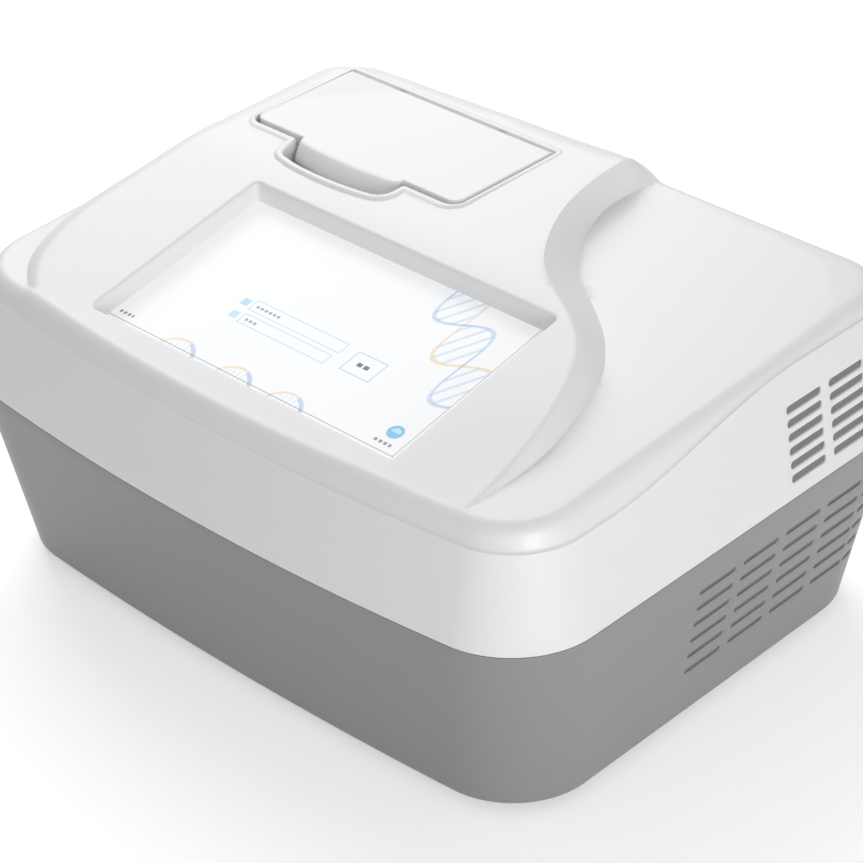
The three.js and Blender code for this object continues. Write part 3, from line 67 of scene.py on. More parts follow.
# Places round the island: shares across and back, share of the slope's width, and its roundness.
# Roundness: 1 for a rounded edge, 0 for a soft edge and a crisp foot, -1 for a crisp edge and a soft foot.
ISLAND = [
    (1.026, -0.151, 0.1, 0), (1.016, -0.036, 0.1, 0), (1.007, 0.047, 0.12, 0.3),
    (1.005, 0.123, 0.17, 0.5), (0.999, 0.199, 0.22, 0.5), (0.991, 0.26, 0.26, 0.5),
    (0.981, 0.314, 0.29, 0.4), (0.966, 0.365, 0.32, 0.3), (0.947, 0.42, 0.38, 0.15),
    (0.918, 0.48, 0.48, -0.2), (0.884, 0.515, 0.66, -0.5), (0.844, 0.545, 0.88, -0.6),
    (0.802, 0.572, 1, -0.65), (0.761, 0.606, 1.02, -0.75), (0.724, 0.646, 0.95, -0.85),
    (0.693, 0.698, 0.77, -1), (0.661, 0.767, 0.57, -1), (0.636, 0.845, 0.38, -1),
    (0.621, 0.927, 0.26, -1), (0.615, 0.994, 0.24, -1), (0.614, 1.045, 0.34, -0.9),
    (0.616, 1.114, 0.46, -0.8), (0.62, 1.2, 0.5, -0.8), (0.55, 1.3, 0.84, 1), (0.3, 1.3, 0.84, 1),
    (0.06, 1.3, 0.84, 1), (0.014, 1.2, 0.84, 1), (0.014, 0.95, 0.84, 1), (0.014, 0.7, 0.84, 1),
    (0.012, 0.5, 0.84, 1), (0.006, 0.395, 0.8, 1), (0, 0.29, 0.74, 0.9), (0.009, 0.202, 0.6, 0.7),
    (0.032, 0.128, 0.46, 0.5), (0.074, 0.068, 0.3, 0.3), (0.13, 0.02, 0.18, 0), (0.19, -0.035, 0.1, 0),
]
# Line where the island's back starts to fall, and how far the fall reaches
BACK_LINE = [(-190, 108), (-180, 113), (-165, 121.5), (-145, 125.8), (-110, 127.6), (-60, 131),
             (-10, 133.3), (18, 136), (60, 138)]
BACK_FALL = 21.0
# How much of a quarter round an edge has, where 1 would end upright
ROUND_END = 0.94
FOOT_Z = 6.0
TAPER_SIDE, TAPER_FRONT, TAPER_BACK, BOTTOM_BOW, BOTTOM_RADIUS = 0.148, 0.213, 0.158, 8.5, 4.0
VENT_Y, VENT_PITCH, VENT_LENGTH = -21.3, 37.2, 30.35
UPPER_SLOT_LOW, UPPER_SLOT_PITCH, UPPER_SLOT_HEIGHT, UPPER_SLOT_END = 11.3, 8.14, 4.7, 2.1
LOWER_SLOT_DROP, LOWER_SLOT_PITCH, LOWER_SLOT_HEIGHT = 24.1, 11.3, 3.2
SCREEN_X, SCREEN_Y, SCREEN_WIDTH, SCREEN_LENGTH, SCREEN_DEPTH = -0.6, -141.0, 228.4, 130.5, 12.5
TILT = math.atan(SLOPE_FRONT)
LID_X, LID_WIDTH, LID_FRONT, LID_REAR = -85.8, 162.0, 36.0, 119.5
LID_TOP, LID_THICK, LID_CORNER, LID_WALL = 226.00688, 7.0, 7.0, 2.2
BARREL = 3.5
HINGE_SPREAD, HINGE_HALF = 40, 3
KEEPER_LENGTH, KEEPER_FRONT, KEEPER_BACK = 4, 45, 59
HINGE_Y, HINGE_Z = LID_REAR - BARREL, LID_TOP - BARREL
LEDGE_TOP = LID_TOP - LID_THICK - GAP
LEDGE_LOW = LEDGE_TOP - 4
POCKET_FLOOR = LEDGE_TOP - 15
OPEN_HALF, OPEN_FRONT, OPEN_BACK = 74.2, 39.0, 111.0
BLOCK_TOP = 197.80688
BLOCK_HALF_X, BLOCK_HALF_Y, BLOCK_Y = 53.5, 35.5, 75.0
IO_X, IO_Z, IO_WIDTH, IO_HEIGHT = 92.0, 66.0, 140.0, 62.0
IO_TILT = math.atan(TAPER_BACK)
IO_Y = HALF_DEPTH - TAPER_BACK * (SEAM - IO_Z)


def lerp(a, b, t):
    return a + (b - a) * t


def smoothstep(t):
    t = np.clip(t, 0, 1)
    return t * t * (3 - 2 * t)


def island_height(y):
    along = y - FOLD
    fold = SEAM + ISLAND_RISE + SLOPE_FRONT * (FOLD - ISLAND_FRONT)
    mean, turn = (SLOPE_FRONT + SLOPE_REAR) / 2, (SLOPE_FRONT - SLOPE_REAR) / 2
    return fold + mean * along - turn * np.hypot(along, FOLD_SOFT)


def top_height(y):
    return SEAM + TOP_RISE + TOP_SLOPE * (y + HALF_DEPTH)


def shoulder_height(y):
    return SEAM + lerp(SHOULDER_FRONT, SHOULDER_BACK, smoothstep((y + 95) / 160))


def contour(t, side, front, back, bow, front_radius, back_radius):
    """Plan points of the case; t runs from 0 to 8, one unit for each side and corner."""
    t, side, front, back, bow, fr, br = np.broadcast_arrays(
        *[np.asarray(v, float) for v in (t, side, front, back, bow, front_radius, back_radius)])
    run = side - fr
    side_y = front + bow * (run / side) ** 2
    slope = 2 * bow * run / side ** 2
    corner_y = side_y + slope * fr
    near = 1 - ROUND
    parts = [
        [(-run, side_y), (0 * run, 2 * front - side_y), (run, side_y)],
        [(run, side_y), (run + fr * ROUND, side_y + slope * fr * ROUND),
         (side, corner_y + fr * near), (side, corner_y + fr)],
        [(side, corner_y + fr), (side, back - br)],
        [(side, back - br), (side, back - br * near), (side - br * near, back), (side - br, back)],
        [(side - br, back), (br - side, back)],
        [(br - side, back), (br * near - side, back), (-side, back - br * near), (-side, back - br)],
        [(-side, back - br), (-side, corner_y + fr)],
        [(-side, corner_y + fr), (-side, corner_y + fr * near),
         (-run - fr * ROUND, side_y + slope * fr * ROUND), (-run, side_y)],
    ]
    t = np.mod(t, 8)
    x, y = np.zeros(t.shape), np.zeros(t.shape)
    for k, points in enumerate(parts):
        here = np.floor(t) == k
        f = t[here] - k
        n = len(points) - 1
        for i, (px, py) in enumerate(points):
            weight = math.comb(n, i) * f ** i * (1 - f) ** (n - i)
            x[here] += weight * px[here]
            y[here] += weight * py[here]
    return x, y


def shell_plan(t, inset):
    return contour(t, HALF_WIDTH - inset, inset - HALF_DEPTH, HALF_DEPTH - inset, BOW,
                   FRONT_RADIUS - inset, BACK_RADIUS - inset)


def tub_place(t, z, inset=0.0):
    drop = SEAM - np.asarray(z, float)
    share = drop / (SEAM - FOOT_Z)
    return contour(t, HALF_WIDTH - TAPER_SIDE * drop - inset, inset + TAPER_FRONT * drop - HALF_DEPTH,
                   HALF_DEPTH - TAPER_BACK * drop - inset, lerp(BOW, BOTTOM_BOW, share),
                   FRONT_RADIUS - inset, BACK_RADIUS - inset)


def shell_place(t, z, inset=0.0):
    return shell_plan(t, FLARE * (np.asarray(z) - SEAM) + inset)


# Sample places round the outline: fine at the corners
OUTLINE_STEPS = (96, 34, 30, 20, 60, 20, 30, 26)
OUTLINE_T = np.concatenate([k + np.arange(n) / n for k, n in enumerate(OUTLINE_STEPS)])
SPAN = np.cumsum([0, 352, 76, 258, 75, 354, 75, 258, 76])


def along(t):
    """Length along the outline of a place t, near enough for even triangles."""
    k = np.clip(np.floor(t).astype(int), 0, 7)
    return SPAN[k] + (t - k) * (SPAN[k + 1] - SPAN[k])


def back_to_t(s):
    return np.interp(s, SPAN, np.arange(9.0))


# Plan shapes
def rounded(corners, grow=0.0, steps=8):
    """A closed loop through corners (x, y, radius), counter-clockwise, grown outwards."""
    points = np.array([c[:2] for c in corners], float)
    n = len(points)
    shifted, radii = [], []
    for i in range(n):
        a, b, c = points[i - 1], points[i], points[(i + 1) % n]
        u, v = (b - a) / np.linalg.norm(b - a), (c - b) / np.linalg.norm(c - b)
        nu, nv = np.array([u[1], -u[0]]), np.array([v[1], -v[0]])
        shifted.append(b + (nu + nv) * grow / (1 + nu @ nv))
        turn = u[0] * v[1] - u[1] * v[0]
        r = corners[i][2]
        radii.append(max(r + (grow if turn > 0 else -grow), 0.15) if r else 0.0)
    loop = []
    for i in range(n):
        a, b, c, r = shifted[i - 1], shifted[i], shifted[(i + 1) % n], radii[i]
        if not r:
            loop.append(b)
            continue
        u, v = (a - b) / np.linalg.norm(a - b), (c - b) / np.linalg.norm(c - b)
        half = math.acos(np.clip(u @ v, -1, 1)) / 2
        reach = r / math.tan(half)
        centre = b + (u + v) / np.linalg.norm(u + v) * r / math.sin(half)
        start, end = b + u * reach - centre, b + v * reach - centre
        angle = math.atan2(start[1], start[0])
        sweep = (math.atan2(end[1], end[0]) - angle + math.pi) % TAU - math.pi
        for k in range(steps + 1):
            p = angle + sweep * k / steps
            loop.append(centre + r * np.array([math.cos(p), math.sin(p)]))
    return np.array(loop)


def box_corners(x0, y0, x1, y1, r):
    return [(x0, y0, r), (x1, y0, r), (x1, y1, r), (x0, y1, r)]


def stadium(cx, cy, length, height, grow=0.0, steps=7, end=None):
    r = height / 2 if end is None else end
    return rounded(box_corners(cx - length / 2, cy - height / 2, cx + length / 2, cy + height / 2,
                               min(r, height / 2 - 0.01)), grow, steps)


def resample(loop, pitch):
    """The loop with points added, so that no side is longer than pitch."""
    out = []
    for a, b in zip(loop, np.roll(loop, -1, 0)):
        n = max(1, math.ceil(np.linalg.norm(b - a) / pitch))
        out += [lerp(a, b, k / n) for k in range(n)]
    return np.array(out)


def plan_grid(x0, x1, y0, y1, pitch):
    return np.array([(x, y) for x in np.arange(x0, x1, pitch) for y in np.arange(y0, y1, pitch)])


def inside(points, loop):
    x, y = points[:, 0, None], points[:, 1, None]
    ax, ay = loop[None, :, 0], loop[None, :, 1]
    bx, by = np.roll(ax, -1, 1), np.roll(ay, -1, 1)
    rise = np.where(by == ay, 1e-12, by - ay)
    cross = ((ay > y) != (by > y)) & (x < (bx - ax) * (y - ay) / rise + ax)
    return cross.sum(1) % 2 == 1


def distance(points, loop):
    """Distance of points to a closed loop, below zero inside it."""
    best = np.full(len(points), 1e9)
    for a, b in zip(loop, np.roll(loop, -1, 0)):
        d = b - a
        t = np.clip((points - a) @ d / max(d @ d, 1e-12), 0, 1)
        best = np.minimum(best, np.hypot(*(points - a - t[:, None] * d).T))
    return np.where(inside(points, loop), -best, best)


def nearest(points, others):
    """Distance of points to the nearest of other points."""
    best = np.full(len(points), 1e9)
    for some in np.array_split(others, max(1, len(others) // 400)):
        step = points[:, None] - some[None]
        best = np.minimum(best, np.hypot(step[..., 0], step[..., 1]).min(1))
    return best


# Twice the area below which a triangle only fills a straight stretch of an outline
SLIVER = 0.002
# How far a line's points stay from fixed edges, from holes and from other lines
EDGE_CLEAR, HOLE_CLEAR, LINE_CLEAR = 1.1, 2, 0.35


def triangulate(outer, holes, rings, lines, loose, clear):
    """Plan points and triangles inside outer and outside holes.

    Rings become edges. So do lines, apart from their points near other edges or near a hole.
    Loose points go in where they are clear of all these.
    """
    fixed = [outer, *holes, *rings]
    edges, start = [], 0
    for chain in fixed:
        n = len(chain)
        edges += [(start + i, start + (i + 1) % n) for i in range(n)]
        start += n
    placed = []
    for chain in lines:
        keep = inside(chain, outer) & (nearest(chain, np.vstack(fixed)) > EDGE_CLEAR)
        for hole in holes:
            keep &= distance(chain, hole) > HOLE_CLEAR
        if placed:
            keep &= nearest(chain, np.vstack(placed)) > LINE_CLEAR
        kept = np.flatnonzero(keep)
        number = {k: start + i for i, k in enumerate(kept)}
        n = len(chain)
        edges += [(number[k], number[(k + 1) % n]) for k in kept if (k + 1) % n in number]
        placed.append(chain[kept])
        start += len(kept)
    points = np.vstack(fixed + placed)
    keep = inside(loose, outer) & (nearest(loose, points) > clear)
    for hole in holes:
        keep &= ~inside(loose, hole)
    points = np.vstack([points, loose[keep]])

    result = geometry.delaunay_2d_cdt([Vector(p) for p in points], edges, [], 0, 1e-5)
    flat = np.array([points[given[0]] if given else tuple(v) for v, given in zip(result[0], result[3])])
    faces = np.array([f for f in result[2] if len(f) == 3])
    middle = flat[faces].mean(1)
    first, second = flat[faces[:, 1]] - flat[faces[:, 0]], flat[faces[:, 2]] - flat[faces[:, 0]]
    area = np.abs(first[:, 0] * second[:, 1] - first[:, 1] * second[:, 0])
    keep = inside(middle, outer) & (area > SLIVER)
    for hole in holes:
        keep &= ~inside(middle, hole)
    return flat, faces[keep]


# Keeps round coordinates away from the limits of the weld's cells
WELD_OFFSET = 0.00317


def bands(rows, n):
    """Faces between rows of n points each, closed all round."""
    return [[r * n + i, r * n + (i + 1) % n, (r + 1) * n + (i + 1) % n, (r + 1) * n + i]
            for r in range(rows - 1) for i in range(n)]


class Skin:
    """Gathers patches of one moulded skin, each with its outer and inner points."""

    def __init__(self):
        self.outer, self.inner, self.faces, self.seen = [], [], [], {}

    def add(self, outer, inner, faces):
        index = []
        for o, i in zip(outer, inner):
            key = tuple(np.round(np.asarray(o) + WELD_OFFSET, 2))
            if key not in self.seen:
                self.seen[key] = len(self.outer)
                self.outer.append(o)
                self.inner.append(i)
            index.append(self.seen[key])
        for f in faces:
            g = [index[k] for k in f]
            if len(set(g)) == len(g):
                self.faces.append(g)

    def strip(self, rows_outer, rows_inner):
        faces = bands(len(rows_outer), len(rows_outer[0]))
        self.add(np.vstack(rows_outer), np.vstack(rows_inner), faces)

    def solid(self):
        count = len(self.outer)
        edges = {}
        for f in self.faces:
            for a, b in zip(f, f[1:] + f[:1]):
                edges[(a, b)] = edges.get((a, b), 0) + 1
        faces = list(self.faces) + [[count + k for k in reversed(f)] for f in self.faces]
        for a, b in edges:
            if (b, a) not in edges:
                faces.append([b, a, count + a, count + b])
        return np.vstack([self.outer, self.inner]), faces


def loft(rings, close_ends=True):
    """Points and faces of a closed skin through rings of equal count."""
    n = len(rings[0])
    faces = bands(len(rings), n)
    if close_ends:
        faces.append(list(range(n))[::-1])
        faces.append([(len(rings) - 1) * n + i for i in range(n)])
    return np.vstack([np.asarray(r, float) for r in rings]), faces


def at_height(loop, z):
    return np.column_stack([loop, np.broadcast_to(z, len(loop))])


def around(place, z, inset=0.0):
    """Points all round a wall at one height."""
    return at_height(np.column_stack(place(OUTLINE_T, z, inset)), z)


def join(*shapes):
    points, faces, start = [], [], 0
    for p, f in shapes:
        points.append(np.asarray(p, float))
        faces += [[start + k for k in g] for g in f]
        start += len(p)
    return np.vstack(points), faces


def plate(corners, low, high, edge=0.0, steps=6):
    """An upright slab of a rounded outline, with rounded rims."""
    rows = [(0, low), (0, high)]
    if edge:
        turn = np.linspace(0, math.pi / 2, 3)
        rows = [(-edge * (1 - math.sin(a)), low + edge * (1 - math.cos(a))) for a in turn]
        rows += [(-edge * (1 - math.cos(a)), high - edge * (1 - math.sin(a))) for a in turn]
    return loft([at_height(rounded(corners, g, steps), z) for g, z in rows])


def slab(low, high, radius=0.001):
    """A box with rounded upright corners."""
    return plate(box_corners(low[0], low[1], high[0], high[1], radius), low[2], high[2], steps=3)


def turned(profile, sides, centre=(0, 0)):
    """A closed solid of revolution about an upright line, from (radius, z) points."""
    a = np.arange(sides) * TAU / sides
    circle = np.column_stack([np.cos(a), np.sin(a)])
    return loft([at_height(np.array(centre) + max(r, 1e-3) * circle, z) for r, z in profile])


class Form:
    """A mesh in millimetres, built up with mesh operators."""

    def __init__(self):
        self.bm, self.before, self.loop = bmesh.new(), set(), []

    def mark(self):
        """What is made from here on is what the next moves take."""
        self.before = set(self.bm.verts)

    def made(self):
        return [v for v in self.bm.verts if v not in self.before]

    def made_edges(self):
        return list({e for v in self.made() for e in v.link_edges})

    def box(self, low, high, bevel=0.0):
        low, high = Vector(low), Vector(high)
        self.mark()
        bmesh.ops.create_cube(self.bm, size=1)
        bmesh.ops.scale(self.bm, verts=self.made(), vec=high - low)
        bmesh.ops.translate(self.bm, verts=self.made(), vec=(low + high) / 2)
        if bevel:
            bmesh.ops.bevel(self.bm, geom=self.made_edges(), offset=bevel, segments=2, profile=0.5,
                            affect="EDGES", material=-1)
        return self

    def spin(self, profile, sides):
        """A profile of (radius, height) points, turned all the way round Z."""
        self.mark()
        verts = [self.bm.verts.new((r, 0, z)) for r, z in profile]
        edges = [self.bm.edges.new(pair) for pair in zip(verts, verts[1:])]
        bmesh.ops.spin(self.bm, geom=verts + edges, cent=(0, 0, 0), axis=(0, 0, 1), angle=TAU,
                       steps=sides, use_merge=True)
        bmesh.ops.remove_doubles(self.bm, verts=self.made(), dist=1e-4)
        return self

    def circle(self, radius, sides, z=0.0):
        """An open loop of edges, ready to be pulled."""
        self.mark()
        bmesh.ops.create_circle(self.bm, cap_ends=False, radius=radius, segments=sides)
        bmesh.ops.translate(self.bm, verts=self.made(), vec=(0, 0, z))
        self.loop = self.made_edges()
        return self

    def pull(self, rule):
        """Extrudes the open loop, and moves its new corners by a rule."""
        made = bmesh.ops.extrude_edge_only(self.bm, edges=self.loop)["geom"]
        self.loop = [e for e in made if isinstance(e, bmesh.types.BMEdge)]
        for v in made:
            if isinstance(v, bmesh.types.BMVert):
                v.co = rule(v.co)
        return self

    def cap(self):
        bmesh.ops.edgeloop_fill(self.bm, edges=self.loop)
        return self

    def sheet(self, across, up, rule, thickness):
        """A grid of places from -0.5 to 0.5, set by a rule and thickened."""
        self.mark()
        bmesh.ops.create_grid(self.bm, x_segments=across, y_segments=up, size=0.5)
        for v in self.made():
            v.co = rule(v.co.x, v.co.y)
        faces = list({f for v in self.made() for f in v.link_faces})
        self.bm.normal_update()
        bmesh.ops.solidify(self.bm, geom=faces, thickness=thickness)
        return self

    def put(self, offset=(0, 0, 0), axis="Z", angle=0.0, everything=False):
        """Turns and then moves what was made last, or everything."""
        verts = self.bm.verts[:] if everything else self.made()
        bmesh.ops.rotate(self.bm, verts=verts, cent=(0, 0, 0), matrix=Matrix.Rotation(angle, 3, axis))
        bmesh.ops.translate(self.bm, verts=verts, vec=Vector(offset))
        return self

    def shape(self):
        self.bm.verts.index_update()
        faces = [[v.index for v in f.verts] for f in self.bm.faces]
        return np.array([tuple(v.co) for v in self.bm.verts]), faces


def add_object(name, data):
    thing = bpy.data.objects.new(name, data)
    bpy.context.scene.collection.objects.link(thing)
    return thing


def piece(name, shape, body, slot, sharp, replaces=None, look=None):
    """A named object from points in millimetres, which rides on a body."""
    mesh = bpy.data.meshes.new(name)
    if isinstance(shape, Form):
        bm = shape.bm
    else:
        bm = bmesh.new()
        verts = [bm.verts.new(p) for p in np.asarray(shape[0], float)]
        for f in shape[1]:
            try:
                bm.faces.new([verts[k] for k in f])
            except ValueError:
                pass
    bmesh.ops.scale(bm, verts=bm.verts[:], vec=(MM, MM, MM))
    bmesh.ops.remove_doubles(bm, verts=bm.verts[:], dist=2e-6)
    bmesh.ops.dissolve_degenerate(bm, edges=bm.edges[:], dist=1e-6)
    bmesh.ops.recalc_face_normals(bm, faces=bm.faces[:])
    bm.to_mesh(mesh)
    bm.free()
    for polygon in mesh.polygons:
        polygon.use_smooth = True
    mesh.set_sharp_from_angle(angle=math.radians(sharp))
    thing = add_object(name, mesh)
    mesh.materials.append(look or LOOKS[slot])
    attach(thing, body)
    if replaces:
        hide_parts(replaces)
    return thing


def boolean(shape, *steps):
    """Points and faces of a shape after joining or cutting other closed shapes."""
    def temporary(s):
        mesh = bpy.data.meshes.new("work")
        mesh.from_pydata([tuple(p) for p in s[0]], [], [list(f) for f in s[1]])
        bm = bmesh.new()
        bm.from_mesh(mesh)
        bmesh.ops.recalc_face_normals(bm, faces=bm.faces[:])
        bm.to_mesh(mesh)
        bm.free()
        return add_object("work", mesh)

    things = [temporary(shape)]
    for operation, tool in steps:
        other = temporary(tool)
        things.append(other)
        modifier = things[0].modifiers.new("step", "BOOLEAN")
        modifier.operation = operation
        modifier.solver = "EXACT"
        modifier.object = other
    depsgraph = bpy.context.evaluated_depsgraph_get()
    mesh = bpy.data.meshes.new_from_object(things[0].evaluated_get(depsgraph))
    points = np.array([tuple(v.co) for v in mesh.vertices])
    faces = [list(p.vertices) for p in mesh.polygons]
    for thing in things:
        data = thing.data
        bpy.data.objects.remove(thing)
        bpy.data.meshes.remove(data)
    bpy.data.meshes.remove(mesh)
    return points, faces


def closed_spline(points, per):
    """A smooth closed line through places, with per points for each."""
    p = np.asarray(points, float)
    a, b, c, d = np.roll(p, 1, 0), p, np.roll(p, -1, 0), np.roll(p, -2, 0)
    out = []
    for k in range(per):
        t = k / per
        out.append(0.5 * (2 * b + (c - a) * t + (2 * a - 5 * b + 4 * c - d) * t * t
                          + (3 * b - a - 3 * c + d) * t ** 3))
    return np.stack(out, 1).reshape(-1, p.shape[1])


RIM = closed_spline([(lerp(ISLAND_LEFT, ISLAND_RIGHT, a), lerp(ISLAND_FRONT, ISLAND_BACK, b),
                      c * ISLAND_SLOPE, d) for a, b, c, d in ISLAND], 14)
RIM = np.mean([np.roll(RIM, k, 0) for k in range(-9, 10)], 0)
RIM[:, 2] = np.maximum(RIM[:, 2], 2.0)
RIM[:, 3] = np.clip(RIM[:, 3], -1, 1)
step_on, step_back = np.roll(RIM, -3, 0), np.roll(RIM, 3, 0)
RIM_NORMAL = np.column_stack([step_on[:, 1] - step_back[:, 1], step_back[:, 0] - step_on[:, 0]])
RIM_NORMAL /= np.linalg.norm(RIM_NORMAL, axis=1)[:, None]
# Share of the slope's width by which a soft edge starts inside the crest
SLOPE_SOFT = 0.14
# How far the island sinks towards the front right
FRONT_SINK = 2.25


def bowed(places, front):
    """Places of the finger pocket's bowed front edge."""
    return [(LID_X + x, front + 4.4 * (x / 41) ** 2, 0) for x in places]


# Pan of the lid with its finger pocket, and how high the bead stands at distances from it
PAN = [(LID_X - 82, 33, 8), (LID_X - 43, 33, 2.2), (LID_X - 37, 14.6, 8)]
PAN += bowed((-24, -15, -6, 3, 12, 21, 29), 10.2)
PAN += [(LID_X + 43, 15, 9), (LID_X + 43, 33, 2.2), (LID_X + 82, 33, 8), (LID_X + 82, 120.5, 1.5),
        (LID_X - 82, 120.5, 1.5)]
PAN_LOOP = resample(rounded(PAN), 4)
BEAD_AT = np.array([0, 0.15, 0.5, 1.0, 1.6, 2.2, 2.8, 3.2, 3.5])
BEAD_SHARE = np.array([0.1, 0.45, 0.8, 0.97, 1, 0.96, 0.72, 0.34, 0])

# Recess of the screen, and how far its rounded lip drops at distances from it
SCREEN_Y1 = SCREEN_Y + SCREEN_LENGTH * math.cos(TILT)
SCREEN = box_corners(SCREEN_X - SCREEN_WIDTH / 2, SCREEN_Y, SCREEN_X + SCREEN_WIDTH / 2, SCREEN_Y1, 3.0)
SCREEN_LOOP = resample(rounded(SCREEN), 5)
LIP_AT = np.array([0, 0.2, 0.55, 1.1, 1.8, 2.6])
LIP_DROP = np.array([1.7, 1.0, 0.52, 0.2, 0.04, 0])


def rounding(q):
    """A quarter round from 1 to 0, which stops short of upright so that its foot stays clean."""
    low = math.sqrt(1 - ROUND_END ** 2)
    return (np.sqrt(1 - (ROUND_END * q) ** 2) - low) / (1 - low)


def hill(points):
    """Height of the plain top and the island at plan points."""
    x, y = points.T
    near = np.concatenate([
        np.argmin((some[:, None, 0] - RIM[None, :, 0]) ** 2 + (some[:, None, 1] - RIM[None, :, 1]) ** 2, 1)
        for some in np.array_split(points, max(1, len(x) // 2000))])
    rim, normal = RIM[near], RIM_NORMAL[near]
    off = (x - rim[:, 0]) * normal[:, 0] + (y - rim[:, 1]) * normal[:, 1]
    shape = rim[:, 3]
    soft = SLOPE_SOFT * np.clip(1 + shape, 0, 1)
    q = np.clip((off / rim[:, 2] + soft) / (1 + soft), 0, 1)
    share = lerp(1 - q ** 1.7, np.where(shape > 0, rounding(q), (1 - q) ** 1.35), np.abs(shape))
    high = island_height(np.where(off > 0, rim[:, 1], y))
    foot = top_height(rim[:, 1] + normal[:, 1] * rim[:, 2])
    fade = FRONT_SINK * smoothstep((x - 95) / 70) * smoothstep((-62 - y) / 60)
    # At the back the island falls in a round edge
    fall = np.interp(x, *np.transpose(BACK_LINE))
    back = np.clip((y - fall) / BACK_FALL, 0, 1)
    fall = (1 - rounding(back)) * (island_height(fall) - top_height(fall + BACK_FALL))
    return np.maximum(top_height(y), np.where(q < 1, lerp(foot, high - fall, share) - fade, 0))


def skin_height(points):
    """The hill with the bead round the lid and the rounded lip of the screen."""
    z = hill(points)
    x, y = points.T
    wide = 1 + 0.6 * smoothstep((34 - y) / 8)
    bead = distance(points, PAN_LOOP) / wide
    left = smoothstep((LID_X - 79 - x) / 4) * smoothstep((y - 36) / 8) * smoothstep((122 - y) / 6)
    rise = np.clip(LID_TOP - 0.35 - z, 0.45, 3.2) * (1 - 0.75 * left)
    z = z + np.where(bead < BEAD_AT[-1], rise * np.interp(bead, BEAD_AT, BEAD_SHARE), 0)
    lip = distance(points, SCREEN_LOOP)
    return z - np.where(lip < 2.6, np.interp(lip, LIP_AT, LIP_DROP), 0)


# Growth and depth of the rings that round the edge of a slot
SLOT_LIP = ((0.55, 0.0), (0.16, 0.14), (0.0, 0.5))


def wall_patch(skin, place, low, high_at, rows, openings):
    """The wall between two heights; openings are functions that give a loop of (t, z) for a growth."""
    v_span = float(np.mean(high_at(OUTLINE_T)) - low)
    v_rows = np.linspace(0, v_span, rows)
    s = np.append(along(OUTLINE_T), SPAN[-1])
    ends = v_rows[1:-1]
    outer = np.vstack([
        at_height(s, 0), np.column_stack([np.full(len(ends), s[-1]), ends]),
        at_height(s[::-1], v_span), np.column_stack([np.zeros(len(ends)), ends[::-1]])])

    def flat(loop):
        t, z = loop.T
        return np.column_stack([along(t), (z - low) / (high_at(t) - low) * v_span])

    holes, rings, depths = [], [], []
    for opening in openings:
        for grow, depth in SLOT_LIP:
            loop = flat(opening(grow))
            (holes if grow == 0 else rings).append(loop)
            depths.append((loop, depth))
    loose = np.array([(a, b) for a in s[1:-1] for b in v_rows[1:-1]])
    points, faces = triangulate(outer, holes, rings, [], loose, 2.2)
    depth = np.zeros(len(points))
    for loop, d in depths:
        if d:
            for p in loop:
                depth[np.argmin(((points - p) ** 2).sum(1))] = d
    t = back_to_t(points[:, 0])
    t = np.where(t >= 8 - 1e-9, 0.0, t)
    z = low + (high_at(t) - low) * points[:, 1] / v_span
    skin.add(np.column_stack([*place(t, z, depth), z]), np.column_stack([*place(t, z, WALL), z]), faces)


def side_opening(plan, side, y, z, height, end=None):
    """A slot in a side wall, centred at y and z."""
    def loop(grow):
        flat = stadium(y, z, VENT_LENGTH, height, grow, 5, end)[::1 if side > 0 else -1]
        first, last = (plan(np.full(len(flat), t), flat[:, 1])[1] for t in (2.0, 2.999999))
        f = (flat[:, 0] - first) / (last - first)
        return np.column_stack([2 + f if side > 0 else 7 - f, flat[:, 1]])
    return loop


def rear_opening(plan, x, z, width, height, radius):
    """An opening in the back wall, centred at x and z."""
    def loop(grow):
        flat = stadium(x, z, width, height, grow, 5, radius)[::-1]
        edge = plan(np.full(len(flat), 4.0), flat[:, 1])[0]
        return np.column_stack([4 + (edge - flat[:, 0]) / (2 * edge), flat[:, 1]])
    return loop


def lip_height(t):
    """Height of the crease where the wall meets the shoulder."""
    # From a height near it, a few rounds settle on the right one
    z = np.full(np.shape(t), SEAM + 60.0)
    for _ in range(4):
        z = shoulder_height(shell_place(t, z)[1])
    return z


# Shoulder profile: share of its height, inset, and how far the skin leans back in degrees
SHOULDER = [(0.0, 0.0, 10), (0.035, 0.85, 20), (0.12, 1.5, 8), (0.35, 2.05, 8), (0.6, 2.8, 16),
            (0.78, 4.0, 30), (0.9, 5.6, 48), (0.965, 7.3, 66), (0.992, 8.7, 80), (1.0, 9.8, 90)]
# Heights and insets of the seam's rounded edge, going up from the seam
SEAM_EDGE = [(0.0, 0.45), (0.12, 0.13), (0.5, 0.0)]
# Shares of the slope's width at which the mesh has a line round the island, and likewise down the back's fall
SLOPE_LINES = (-0.3, -SLOPE_SOFT, 0, 0.12, 0.25, 0.4, 0.55, 0.7, 0.82, 0.91, 0.97, 1.0)
FALL_LINES = (0, 0.3, 0.55, 0.75, 0.89, 0.97, 1)
FALL_X = np.arange(-216, 62, 3.6)
TOP_PITCH, UNDERSIDE_PITCH = 6.5, 16.0


def moved_out(loop):
    """Points of a loop moved out by the wall's thickness, each along its own normal."""
    u, v = loop - np.roll(loop, 1, 0), np.roll(loop, -1, 0) - loop
    u /= np.linalg.norm(u, axis=1)[:, None]
    v /= np.linalg.norm(v, axis=1)[:, None]
    n = np.column_stack([u[:, 1] + v[:, 1], -u[:, 0] - v[:, 0]])
    return loop + n / np.linalg.norm(n, axis=1)[:, None] * WALL


def recess_wall(skin, loop, heights, groove=0):
    """A wall that goes down from the top along a loop, through a row of heights."""
    top, far = skin_height(loop), moved_out(loop)
    low = loop - np.array([0, 0.75]) * groove
    rows = [at_height(loop, top)] + [at_height(low, z) for z in heights(top)]
    skin.strip(rows, [at_height(far, top - WALL)] + [at_height(far, z) for z in heights(top)])


